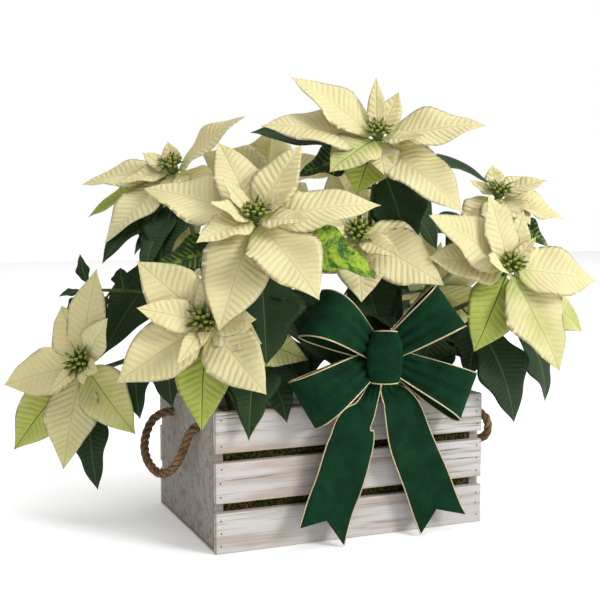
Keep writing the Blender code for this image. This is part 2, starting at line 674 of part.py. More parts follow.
def blade_mesh(blade, rows, grow=0.0):
    """A thin closed blade, thickest along its rib; grow makes it wider and thicker all round."""
    shares = [0.0, *(blade.stalk_share + (1 - blade.stalk_share) * row for row in rows)]
    bm = bmesh.new()
    bmesh.ops.create_grid(bm, x_segments=2, y_segments=len(shares) - 1, size=1)
    lifts = {}
    for vert in bm.verts:
        row = round((vert.co.y + 1) / 2 * (len(shares) - 1))
        s = round(vert.co.x)
        spot, face = blade_point(blade, shares[row], s)
        if s and row < len(shares) - 1:
            middle = blade_point(blade, shares[row], 0)[0]
            spot += (spot - middle).normalized() * grow
        thin = row == len(shares) - 1
        half = 0 if s or thin else (STALK_HALF_THICKNESS if row < 2 else BLADE_HALF_THICKNESS) + grow
        vert.co = spot
        lifts[vert] = face * half
    bmesh.ops.triangulate(bm, faces=bm.faces)
    under = bmesh.ops.duplicate(bm, geom=[*bm.verts, *bm.edges, *bm.faces])
    twin = under["vert_map"]
    bmesh.ops.reverse_faces(bm, faces=[f for f in under["geom"] if isinstance(f, bmesh.types.BMFace)])
    for vert, lift in lifts.items():
        twin[vert].co -= lift
        vert.co += lift
    bmesh.ops.remove_doubles(bm, verts=bm.verts, dist=MERGE)
    bmesh.ops.holes_fill(bm, edges=[e for e in bm.edges if e.is_boundary], sides=4)
    bmesh.ops.triangulate(bm, faces=bm.faces)
    return mesh_from(bm, "blade")


def rows_for(blade):
    return BLADE_ROWS if (blade.tip - blade.root).length > SMALL_BLADE else SMALL_BLADE_ROWS


def bent(blade, angle):
    """The blade turned up at its root by the angle in degrees."""
    run = blade.tip - blade.root
    along = run.normalized()
    face = (blade.face - blade.face.dot(along) * along).normalized()
    turn = Matrix.Rotation(math.radians(angle), 3, along.cross(face))
    return blade._replace(tip=blade.root + turn @ run, face=turn @ face)


class Room:
    """What is already in place, so that a new blade can be bent clear of it."""

    def __init__(self):
        self.taken = []

    def take(self, node, mesh, place=Matrix()):
        points = [place @ v.co for v in mesh.vertices]
        mesh.calc_loop_triangles()
        triangles = [tuple(t.vertices) for t in mesh.loop_triangles]
        low = Vector(min(p[i] for p in points) for i in range(3))
        high = Vector(max(p[i] for p in points) for i in range(3))
        self.taken.append((node, BVHTree.FromPolygons(points, triangles), low, high))

    def is_free(self, node, mesh):
        probe = Room()
        probe.take(node, mesh)
        tree, low, high = probe.taken[0][1:]
        for other, other_tree, other_low, other_high in self.taken:
            near = all(low[i] <= other_high[i] and high[i] >= other_low[i] for i in range(3))
            if other != node and near and tree.overlap(other_tree):
                return False
        return True

    def fit(self, node, blade):
        """The blade as a mesh, bent as little as keeps it clear, or nothing where no bend does."""
        rows = rows_for(blade)
        for angle in BENDS:
            tried = bent(blade, angle)
            if self.is_free(node, blade_mesh(tried, rows, CLEARANCE)):
                mesh = blade_mesh(tried, rows)
                self.take(node, mesh)
                return mesh
        return None


def direction(heading, tilt):
    """The direction turned by heading from the bow's side towards +X and lifted by tilt, in degrees."""
    turn = math.radians(heading)
    lift = math.radians(tilt)
    return Vector((math.sin(turn) * math.cos(lift), -math.cos(turn) * math.cos(lift), math.sin(lift)))


def point_along(run, share):
    """The point at a share of the way along a run of points."""
    place = share * (len(run) - 1)
    start = min(int(place), len(run) - 2)
    return run[start].lerp(run[start + 1], place - start)


def head_axes(bloom):
    """The flower head's own right, up and facing directions."""
    facing = direction(bloom.heading, bloom.tilt)
    up = (Z - Z.dot(facing) * facing).normalized()
    return up.cross(facing), up, facing


def bract_blade(bloom, row, number):
    """The blade of one bract: long bracts grow lowest on the head and short ones nearest the buds."""
    clock, length, lift, width, arch = row
    right, up, facing = head_axes(bloom)
    middle = Vector(bloom.middle) * MM
    angle = math.radians(clock)
    rise = math.radians(lift)
    outward = right * math.sin(angle) + up * math.cos(angle)
    tip = middle + (outward * math.cos(rise) + facing * math.sin(rise)) * length * MM
    depth = BRACT_DEPTH + BRACT_DEPTH_SHARE * length * MM + BRACT_STEP * (number % 2)
    root = middle - facing * depth + outward * BRACT_ROOT
    face = facing * math.cos(rise) - outward * math.sin(rise)
    return Blade(root, tip, face, width * MM, BRACT_STALK, BRACT_STALK_SHARE, arch, BRACT_FOLD, BRACT_WAVE, 0,
                 number * BRACT_PHASE)


def make_buds(bloom, parts, room):
    """The tight cluster of green buds in the middle of a flower head."""
    right, up, facing = head_axes(bloom)
    middle = Vector(bloom.middle) * MM
    foot = middle + facing * GAP
    meshes = [cone(foot, foot + facing * BUD_FOOT_HEIGHT, BUD_FOOT_RADIUS, BUD_FOOT_RADIUS, 6)]
    buds = [(0, 0, BUD_LENGTH, BUD_BASE_RADIUS, BUD_TOP_RADIUS, 4)]
    for number in range(BUDS):
        turn = BUD_TURN + 360 / BUDS * number
        buds.append((turn, BUD_SPREAD, BUD_LENGTH, BUD_BASE_RADIUS, BUD_TOP_RADIUS, 4))
    for number in range(SPIKES):
        buds.append((BUD_TURN + 360 / SPIKES * number, SPIKE_SPREAD, SPIKE_LENGTH, SPIKE_RADIUS, 0, 3))
    for turn, spread, length, start_radius, end_radius, sides in buds:
        angle = math.radians(turn)
        lean = math.radians(spread)
        sideways = right * math.sin(angle) + up * math.cos(angle)
        way = facing * math.cos(lean) + sideways * math.sin(lean)
        start = foot + facing * BUD_SEAT_HEIGHT + sideways * math.sin(lean) * BUD_SEAT_RADIUS
        meshes.append(cone(start, start + way * length, start_radius, end_radius, sides))
    name = "buds_" + bloom.name
    cluster = fuse(name, meshes, parts)
    room.take(name, cluster.data)
    paint(cluster, BUD_GREEN, 0.5)


def head_mesh(bloom):
    """The short thick top of the stem that a flower head's bracts grow from."""
    middle = Vector(bloom.middle) * MM
    facing = head_axes(bloom)[2]
    return cone(middle - facing * HEAD_HEIGHT, middle, HEAD_BASE_RADIUS, HEAD_TOP_RADIUS, 8)


def make_bloom(bloom, parts, room):
    """The cream bracts of one flower head, fused to its middle."""
    name = "bloom_" + bloom.name
    meshes = [head_mesh(bloom)]
    for number, row in enumerate(bloom.bracts):
        mesh = room.fit(name, bract_blade(bloom, row, number))
        if mesh:
            meshes.append(mesh)
    paint(fuse(name, meshes, parts), CREAM, 0.55)


def stem_runs(plant):
    """The main stem and one branch to each flower head, as lists of points."""
    foot = Vector((*plant.foot, 0)) * MM
    fork = Vector(plant.fork) * MM
    soil_top = PANEL_THICKNESS + GAP + POT_HEIGHT - SOIL_BELOW_RIM
    base = foot + Z * (soil_top - STEM_IN_SOIL)
    runs = [smooth_run([base, foot + Z * (soil_top + 3 * SOIL_DOME), fork], 1)]
    for bloom_name in plant.blooms:
        bloom = BLOOMS[bloom_name]
        facing = head_axes(bloom)[2]
        end = Vector(bloom.middle) * MM - facing * (HEAD_HEIGHT + GAP)
        reach = (end - fork).length
        leave = fork + (Z + (end - fork).normalized() * 0.6).normalized() * reach * 0.3
        arrive = end - facing * min(0.04, reach * 0.3)
        straight = end - facing * BRANCH_END
        run = smooth_run([fork - Z * 2 * MM, leave, arrive, straight], BRANCH_POINTS_PER_SPAN)
        runs.append([*run, end])
    for shoot in plant.shoots:
        start = point_along(runs[shoot.branch], shoot.height)
        end = Vector(shoot.end) * MM
        runs.append(smooth_run([start, start.lerp(end, 0.5) + Z * 8 * MM, end], 2))
    return runs


def leaf_blade(runs, leaf, number):
    """The blade of a leaf set by hand, rooted in the middle of its branch."""
    root = point_along(runs[leaf.branch], leaf.height)
    tip = Vector(leaf.tip) * MM
    face = direction(leaf.heading, leaf.tilt)
    return Blade(root, tip, face, leaf.width * MM, LEAF_STALK, LEAF_STALK_SHARE, leaf.arch,
                 LEAF_FOLD, LEAF_WAVE, LEAF_LOBE, number * LEAF_PHASE)


def more_leaf_blades(plant, runs):
    """Leaves set round the branches by the plant's own rule: each a golden angle on from the last."""
    draw = random.Random(plant.name)
    turn = draw.uniform(0, 360)
    for number in range(plant.more_leaves):
        turn += GOLDEN_ANGLE
        run = runs[1 + number % 2]
        root = point_along(run, MORE_LEAF_START + MORE_LEAF_STRETCH * number / plant.more_leaves)
        angle = math.radians(turn)
        length = draw.uniform(*MORE_LEAF_LENGTH)
        droop = math.radians(draw.uniform(*MORE_LEAF_DROOP))
        way = Vector((math.cos(angle) * math.cos(droop), math.sin(angle) * math.cos(droop), math.sin(droop)))
        yield Blade(root, root + way * length, Z.copy(), length * MORE_LEAF_WIDTH, LEAF_STALK, LEAF_STALK_SHARE,
                    MORE_LEAF_ARCH, LEAF_FOLD, LEAF_WAVE, LEAF_LOBE, number * LEAF_PHASE)


def make_plant(plant, runs, parts, room):
    """One plant's stem, branches and green leaves, fused."""
    meshes = stem_meshes(runs)
    for number, leaf in enumerate(plant.leaves):
        mesh = room.fit(plant.name, leaf_blade(runs, leaf, number))
        if mesh:
            meshes.append(mesh)
    for blade in more_leaf_blades(plant, runs):
        mesh = room.fit(plant.name, blade)
        if mesh:
            meshes.append(mesh)
    paint(fuse(plant.name, meshes, parts), LEAF_GREEN, 0.5)


def stem_meshes(runs):
    radii = [STEM_RADIUS, BRANCH_RADIUS, BRANCH_RADIUS, SHOOT_RADIUS]
    return [tube_mesh(run, radius) for run, radius in zip(runs, radii)]


def loop_rows(loop):
    """A ribbon loop: out from the middle of the bow, round a soft fold and back."""
    out = Vector(loop.out) * MM
    reach = out.length
    out.normalize()
    across = Vector(loop.across).normalized()
    swell = across.cross(out)
    if swell.y > 0:
        swell.negate()
    rows = []
    for step in range(LOOP_STEPS + 1):
        share = step / LOOP_STEPS
        swing = max(0, math.sin(math.pi * share))
        belly = math.sin(2 * math.pi * share)
        belly *= loop.front if belly > 0 else loop.back
        width = RIBBON_WIDTH / 2 * (loop.pinch + (1 - loop.pinch) * swing ** 0.6)
        rows.append((BOW_CENTRE + out * reach * swing ** 0.75 + swell * belly * MM, across * width))
    return rows


def tail_rows(tail):
    """A ribbon tail through its middle points and widths, in millimetres."""
    rows = []
    points = [Vector(point[:3]) * MM for point in tail]
    for number, (point, row) in enumerate(zip(points, tail)):
        before = points[max(0, number - 1)]
        after = points[min(len(points) - 1, number + 1)]
        along = (after - before).normalized()
        rows.append((point, along.cross(Y).normalized() * row[3] / 2 * MM))
    return rows


def tail_mesh(tail):
    """A ribbon tail whose end is cut to a V."""
    rows = tail_rows(tail)
    last = len(rows) - 1
    up_tail = (rows[-2][0] - rows[-1][0]).normalized()
    bm = bmesh.new()
    bmesh.ops.create_grid(bm, x_segments=2, y_segments=last, size=1)
    for vert in bm.verts:
        number = round((vert.co.y + 1) / 2 * last)
        middle, across = rows[number]
        s = round(vert.co.x)
        vert.co = middle + across * s
        if number == last and s == 0:
            vert.co += up_tail * TAIL_NOTCH
    return thick(bm)


def thick(bm):
    """The open ribbon surface with its real thickness."""
    obj = add("ribbon", mesh_from(bm, "ribbon"), bpy.context.scene.collection)
    solid = obj.modifiers.new("Thickness", "SOLIDIFY")
    solid.thickness = RIBBON_THICKNESS
    solid.offset = 0
    mesh = evaluated_mesh(obj)
    bpy.data.objects.remove(obj)
    return mesh


def loop_mesh(loop):
    rows = loop_rows(loop)
    bm = bmesh.new()
    bmesh.ops.create_grid(bm, x_segments=1, y_segments=len(rows) - 1, size=1)
    for vert in bm.verts:
        middle, half = rows[round((vert.co.y + 1) / 2 * (len(rows) - 1))]
        vert.co = middle + half * round(vert.co.x)
    return thick(bm)


def core_mesh():
    """The gathered middle of the bow, where its loops are pinched together."""
    bm = bmesh.new()
    place = Matrix.Translation(BOW_CENTRE) @ Matrix.Diagonal((*BOW_CORE, 1))
    bmesh.ops.create_uvsphere(bm, u_segments=8, v_segments=6, radius=1, matrix=place)
    return mesh_from(bm, "core")


def make_bow(parts):
    """The bow, wound of one ribbon, and the pick that carries it in the moss."""
    meshes = [core_mesh(), *(loop_mesh(loop) for loop in LOOPS), *(tail_mesh(tail) for tail in TAILS)]
    paint(fuse("bow", meshes, parts), VELVET, 0.9)
    paint(add("bow_pick", cone(PICK_TIP, PICK_TOP, PICK_RADIUS, PICK_RADIUS, 8), parts), PICK_GREEN, 0.6)


def main():
    for obj in list(bpy.data.objects):
        bpy.data.objects.remove(obj)
    parts = new_collection("poinsettia_arrangement")
    cutters = new_collection("cutters")
    make_crate(parts, cutters)
    make_handles(parts)
    make_pots(parts, cutters)
    make_moss(parts, cutters)
    make_bow(parts)
    bpy.context.view_layer.update()
    room = Room()
    for obj in parts.objects:
        room.take(obj.name, evaluated_mesh(obj), obj.matrix_world)
    runs = {plant.name: stem_runs(plant) for plant in PLANTS}
    for plant in PLANTS:
        for mesh in stem_meshes(runs[plant.name]):
            room.take(plant.name, mesh)
    for bloom in BLOOMS.values():
        room.take("bloom_" + bloom.name, head_mesh(bloom))
        make_buds(bloom, parts, room)
    for bloom in BLOOMS.values():
        make_bloom(bloom, parts, room)
    for plant in PLANTS:
        make_plant(plant, runs[plant.name], parts, room)


main()
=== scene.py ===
# A poinsettia arrangement in a whitewashed crate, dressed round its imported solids.
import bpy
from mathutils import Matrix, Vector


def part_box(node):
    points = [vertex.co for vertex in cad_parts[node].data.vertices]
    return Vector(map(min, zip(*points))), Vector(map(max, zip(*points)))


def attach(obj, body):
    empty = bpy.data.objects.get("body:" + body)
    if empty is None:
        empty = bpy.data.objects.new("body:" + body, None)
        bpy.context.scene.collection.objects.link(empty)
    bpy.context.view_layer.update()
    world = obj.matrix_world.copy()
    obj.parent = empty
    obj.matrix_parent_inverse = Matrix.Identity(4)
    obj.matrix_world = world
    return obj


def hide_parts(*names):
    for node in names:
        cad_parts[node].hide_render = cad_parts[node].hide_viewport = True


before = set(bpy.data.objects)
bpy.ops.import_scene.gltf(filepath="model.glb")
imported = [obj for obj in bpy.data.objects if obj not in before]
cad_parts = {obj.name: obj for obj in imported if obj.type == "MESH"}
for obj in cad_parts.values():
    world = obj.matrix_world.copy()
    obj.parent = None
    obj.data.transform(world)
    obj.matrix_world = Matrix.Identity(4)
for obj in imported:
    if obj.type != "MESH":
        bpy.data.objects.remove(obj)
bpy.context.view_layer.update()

import math
import random
from collections import namedtuple

import bmesh
import bpy
from mathutils import Matrix, Vector, noise
from mathutils.kdtree import KDTree

mm = 0.001
xAxis, yAxis, zAxis = Vector((1, 0, 0)), Vector((0, 1, 0)), Vector((0, 0, 1))
pieces = {}
print("frame loaded:", len(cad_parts), "nodes")


# Small tools for shapes

def blendStep(low, high, value):
    share = min(1, max(0, (value - low) / (high - low)))
    return share * share * (3 - 2 * share)


def wobble(x, y, seed):  # smooth noise from -1 to 1
    return noise.noise(Vector((x, y, seed * 17.3)))


def splineThrough(points, perSpan):
    ends = [2 * points[0] - points[1], *points, 2 * points[-1] - points[-2]]
    run = []
    for before, start, end, after in zip(ends, ends[1:], ends[2:], ends[3:]):
        for step in range(perSpan):
            t = step / perSpan
            run.append(0.5 * (
                2 * start + (end - before) * t
                + (2 * before - 5 * start + 4 * end - after) * t ** 2
                + (3 * start - before - 3 * end + after) * t ** 3))
    run.append(points[-1].copy())
    return run


def runLength(points):
    return sum((b - a).length for a, b in zip(points, points[1:]))


def pointAlong(run, share):
    place = share * (len(run) - 1)
    start = min(int(place), len(run) - 2)
    return run[start].lerp(run[start + 1], place - start)


def newBm():
    bm = bmesh.new()
    bm.verts.layers.float_vector.new("run")   # across / length, share along, 1 on the underside
    bm.verts.layers.float_vector.new("tint")  # tone, a number for each blade, length
    return bm


def addTube(bm, points, radiusAt, sides, tint=(0, 0, 0)):
    # a grid rolled up along the points; radiusAt takes the angle and the length so far
    tintLayer = bm.verts.layers.float_vector["tint"]
    runLayer = bm.verts.layers.float_vector["run"]
    grid = bmesh.ops.create_grid(bm, x_segments=sides, y_segments=len(points) - 1, size=1)["verts"]
    frames = []
    side = None
    reached = 0
    for number, point in enumerate(points):
        along = (points[min(number + 1, len(points) - 1)] - points[max(number - 1, 0)]).normalized()
        side = (side - side.dot(along) * along).normalized() if side else along.orthogonal().normalized()
        if number:
            reached += (point - points[number - 1]).length
        frames.append((point, side, along.cross(side), reached))
    for vert in grid:
        point, side, up, reached = frames[round((vert.co.y + 1) / 2 * (len(points) - 1))]
        angle = math.pi * (vert.co.x + 1)
        vert[runLayer] = (vert.co.x, reached, 0)
        vert[tintLayer] = tint
        vert.co = point + (side * math.cos(angle) + up * math.sin(angle)) * radiusAt(angle, reached)
    faces = {face for vert in grid for face in vert.link_faces}
    rim = [vert for vert in grid if vert.is_boundary]
    bmesh.ops.remove_doubles(bm, verts=rim, dist=1e-7)
    edges = {edge for face in faces for edge in face.edges if edge.is_boundary}
    caps = bmesh.ops.holes_fill(bm, edges=list(edges), sides=0)["faces"]
    bmesh.ops.recalc_face_normals(bm, faces=[*faces, *caps])


def meshFrom(name, bm):
    mesh = bpy.data.meshes.new(name)
    bm.to_mesh(mesh)
    bm.free()
    return mesh


def addObject(name, data):
    made = bpy.data.objects.new(name, data)
    bpy.context.scene.collection.objects.link(made)
    return made


def recoat(node, material):
    node.data.materials.clear()
    node.data.materials.append(material)


def anyWay(draw):  # a vector with each part from -1 to 1
    return Vector([draw.uniform(-1, 1) for axis in range(3)])


def finishPiece(name, bm, material, nodes=(), sharpAngle=None):
    for face in bm.faces:
        face.smooth = True
    mesh = meshFrom(name, bm)
    mesh.materials.append(material)
    if sharpAngle:
        mesh.set_sharp_from_angle(angle=math.radians(sharpAngle))
    piece = addObject(name, mesh)
    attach(piece, "root")
    if nodes:
        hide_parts(*nodes)
    pieces[name] = piece
    return piece


def finishStrands(name, lines, radius, material):
    # many thin strands that taper to their tips, from one curve
    curve = bpy.data.curves.new(name, "CURVE")
    curve.dimensions = "3D"
    curve.bevel_depth = radius
    curve.bevel_resolution = 0
    curve.use_fill_caps = True
    for line in lines:
        spline = curve.splines.new("POLY")
        spline.points.add(len(line) - 1)
        for number, point in enumerate(line):
            spline.points[number].co = (*point, 1)
            spline.points[number].radius = 1 - 0.75 * number / (len(line) - 1)
    holder = bpy.data.objects.new(name, curve)
    bm = newBm()
    bm.from_mesh(holder.to_mesh())
    holder.to_mesh_clear()
    bpy.data.objects.remove(holder)
    bmesh.ops.remove_doubles(bm, verts=bm.verts, dist=1e-6)
    return finishPiece(name, bm, material)


# Shader maths written as plain arithmetic

class Wire:
    def __init__(self, finish, socket):
        self.finish = finish
        self.socket = socket

    def __add__(self, other):
        return self.finish.maths("ADD", self, other)

    def __sub__(self, other):
        return self.finish.maths("SUBTRACT", self, other)

    def __rsub__(self, other):
        return self.finish.maths("SUBTRACT", other, self)

    def __mul__(self, other):
        return self.finish.maths("MULTIPLY", self, other)

    def __truediv__(self, other):
        return self.finish.maths("DIVIDE", self, other)

    __radd__ = __add__
    __rmul__ = __mul__


class Finish:
    def __init__(self, name, **fixed):
        self.material = bpy.data.materials.new(name)
        self.material.use_nodes = True
        self.tree = self.material.node_tree
        self.shader = self.tree.nodes["Principled BSDF"]
        for key, value in fixed.items():
            self.shader.inputs[key].default_value = value

    def feed(self, socket, value):
        if isinstance(value, Wire):
            self.tree.links.new(value.socket, socket)
        elif socket.type == "RGBA" and len(value) == 3:
            socket.default_value = (*value, 1)
        else:
            socket.default_value = value

    def node(self, kind, settings, sockets, out=0):
        made = self.tree.nodes.new("ShaderNode" + kind)
        for key, value in settings.items():
            setattr(made, key, value)
        for key, value in sockets.items():
            self.feed(made.inputs[key], value)
        return Wire(self, made.outputs[out])

    def maths(self, operation, a, b):
        return self.node("Math", {"operation": operation}, {0: a, 1: b})

    def clamp(self, value):
        return self.node("Clamp", {}, {0: value})

    def step(self, value, low, high):  # 0 below low, 1 above high, smooth between
        return self.node("MapRange", {"interpolation_type": "SMOOTHSTEP"}, {0: value, 1: low, 2: high})

    def mix(self, share, a, b, how="MIX"):
        return self.node("Mix", {"data_type": "RGBA", "blend_type": how}, {0: share, 6: a, 7: b}, 2)

    def parts(self, vector):
        split = self.tree.nodes.new("ShaderNodeSeparateXYZ")
        self.feed(split.inputs[0], vector)
        return [Wire(self, socket) for socket in split.outputs]

    def own(self, name):  # a vector that the mesh carries
        return self.node("Attribute", {"attribute_name": name}, {}, "Vector")

    def place(self, scale=(1, 1, 1)):
        spot = self.node("TexCoord", {}, {}, "Object")
        return self.node("Mapping", {}, {0: spot, 3: scale})

    def noise(self, spot, scale, detail=3.0, roughness=0.55, distortion=0.0):
        return self.node("TexNoise", {}, {
            "Vector": spot, "Scale": scale, "Detail": detail, "Roughness": roughness,
            "Distortion": distortion})

    def cells(self, spot, scale, feature="F1"):
        return self.node("TexVoronoi", {"feature": feature}, {"Vector": spot, "Scale": scale})

    def bump(self, height, distance, strength=1.0):
        normal = self.node(
            "Bump", {}, {"Strength": strength, "Distance": distance, "Height": height}, "Normal")
        self.feed(self.shader.inputs["Normal"], normal)

    def paint(self, colour, roughness=None):
        self.feed(self.shader.inputs["Base Color"], colour)
        if roughness is not None:
            self.feed(self.shader.inputs["Roughness"], roughness)
        return self.material


# Bracts and leaves

bladeLook = {
    "foldBract": 0.12, "waveBract": 0.13, "phaseBract": 1.7,
    "foldLeaf": 0.15, "waveLeaf": 0.15, "lobeLeaf": 0.12, "phaseLeaf": 2.3,
    "ripples": 1.9, "rippleShift": 2.0,
    "thickness": 0.45 * mm, "ribThickness": 1.1 * mm, "ribWidth": 1.0 * mm, "stalkHalf": 1.25 * mm,
    "veinPitch": 7.6 * mm,      # between two side veins, along the rib
    "veinLean": 0.62,           # how far a side vein runs on towards the tip
    "quilt": 0.75 * mm,         # how far the skin swells between the veins
    "crumple": 0.06,            # a slow unevenness, as a share of the half width
    "tooth": 0.035,             # uneven edge, as a share of the half width
    "teeth": 7,                 # how fast that edge changes
    "rootPower": 0.75, "tipPower": 1.2, "peak": 0.2727,   # the outline, and its curve's greatest value
    "lobeMiddle": 0.44, "lobeStep": 0.43, "crowd": 0.35,
    "rowsBig": 52, "columnsBig": 14, "rowsSmall": 28, "columnsSmall": 10, "small": 70 * mm,
    "rowsTiny": 8, "columnsTiny": 4, "tiny": 22 * mm,
    "bends": (0, 7, -7, 14, -14, 21, -21, 30, -30, 40),
    "sameTip": 0.6 * mm,
}

Blade = namedtuple("Blade", "root tip face width stalk stalkShare arch fold wave lobe phase tone seed")


def bladeWidth(q):  # half the width at the share q of the blade, as a share of the widest
    return max(0, q) ** bladeLook["rootPower"] * max(0, 1 - q) ** bladeLook["tipPower"] / bladeLook["peak"]


def bentBy(blade, angle):
    run = blade.tip - blade.root
    along = run.normalized()
    face = (blade.face - blade.face.dot(along) * along).normalized()
    turn = Matrix.Rotation(math.radians(angle), 3, along.cross(face))
    return blade._replace(tip=blade.root + turn @ run, face=turn @ face)


tipTrees = {}


def settled(blade, node):  # the blade bent clear of its neighbours, as the solid's own tip shows it
    if node not in tipTrees:
        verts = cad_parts[node].data.vertices
        tipTrees[node] = KDTree(len(verts))
        for number, vert in enumerate(verts):
            tipTrees[node].insert(vert.co, number)
        tipTrees[node].balance()
    for angle in bladeLook["bends"]:
        tried = bentBy(blade, angle)
        if tipTrees[node].find(tried.tip)[2] < bladeLook["sameTip"]:
            return tried
    return None


def addBlade(bm, blade):
    look = bladeLook
    run = blade.tip - blade.root
    length = run.length
    along = run / length
    face = (blade.face - blade.face.dot(along) * along).normalized()
    across = along.cross(face)
    size = "Tiny" if length < look["tiny"] else "Small" if length < look["small"] else "Big"
    rows, columns = look["rows" + size], look["columns" + size]
    grid = bmesh.ops.create_grid(bm, x_segments=columns, y_segments=rows, size=1)["verts"]
    faces = list({f for vert in grid for f in vert.link_faces})
    edges = list({e for vert in grid for e in vert.link_edges})
    runLayer = bm.verts.layers.float_vector["run"]
    tintLayer = bm.verts.layers.float_vector["tint"]
    lifts = {}
    for vert in grid:
        u = vert.co.x
        s = u * abs(u) ** look["crowd"]  # columns crowd towards the rib
        t = (vert.co.y + 1) / 2
        q = (t - blade.stalkShare) / (1 - blade.stalkShare)
        lobes = 1 + blade.lobe * math.cos(2 * math.pi * (q - look["lobeMiddle"]) / look["lobeStep"])
        half = bladeWidth(q) * blade.width / 2 * lobes
        half *= 1 + look["tooth"] * wobble(q * look["teeth"], 3 * (s > 0), blade.seed)
        if q < 0.5:
            half = max(half, blade.stalk / 2)
        spread = max(0, min(1, q * 4))
        shift = look["rippleShift"] if s > 0 else 0
        ripple = math.sin(2 * math.pi * look["ripples"] * t + blade.phase + shift)
        away = abs(s) * half
        rise = blade.arch * length * 4 * t * (1 - t)
        rise += away * spread * (blade.fold + blade.wave * ripple * abs(s) ** 0.4)
        rise += wobble(q * 3.1, s * 1.6, blade.seed + 5) * look["crumple"] * half * spread
        vein = (q * length - look["veinLean"] * away) / look["veinPitch"]
        swell = (0.5 - 0.5 * math.cos(2 * math.pi * vein)) * blendStep(0.04, 0.3, abs(s))
        swell *= blendStep(1, 0.82, abs(s))
        rise += look["quilt"] * swell * spread * min(1, 2 * half / (30 * mm))
        vert.co = blade.root + run * t + across * s * half + face * rise
        vert[runLayer] = (abs(s) * half / length, max(0, q), 0)
        vert[tintLayer] = (blade.tone, blade.seed % 1, length)
        if abs(u) > 0.999 or t < 0.001 or t > 0.999:
            lifts[vert] = (0, 0)
            continue
        stalky = blendStep(0.10, -0.02, q) * look["stalkHalf"] * math.sqrt(max(0, 1 - s * s))
        rib = look["ribThickness"] * math.exp(-(away / look["ribWidth"]) ** 2) * (1 - 0.75 * t)
        lifts[vert] = (stalky, max(stalky, look["thickness"] + rib))
    copy = bmesh.ops.duplicate(bm, geom=[*grid, *edges, *faces])
    twin = copy["vert_map"]
    bmesh.ops.reverse_faces(bm, faces=[f for f in copy["geom"] if isinstance(f, bmesh.types.BMFace)])
    rim = []
    for vert, (over, under) in lifts.items():
        below = twin[vert]
        if over or under:
            vert.co += face * over
            below.co -= face * under
            below[runLayer] = (*vert[runLayer][:2], 1)
        else:
            rim += [vert, below]
    bmesh.ops.remove_doubles(bm, verts=rim, dist=1e-6)
    for edge in edges:
        if edge.is_valid and all(lifts.get(vert) == (0, 0) for vert in edge.verts):
            edge.smooth = False


# Flower heads: middle in millimetres, heading and tilt in degrees, then each bract's clock angle, length,
# lift, width and arch. The tones make some bracts green: 0 is cream and 1 is leaf green.

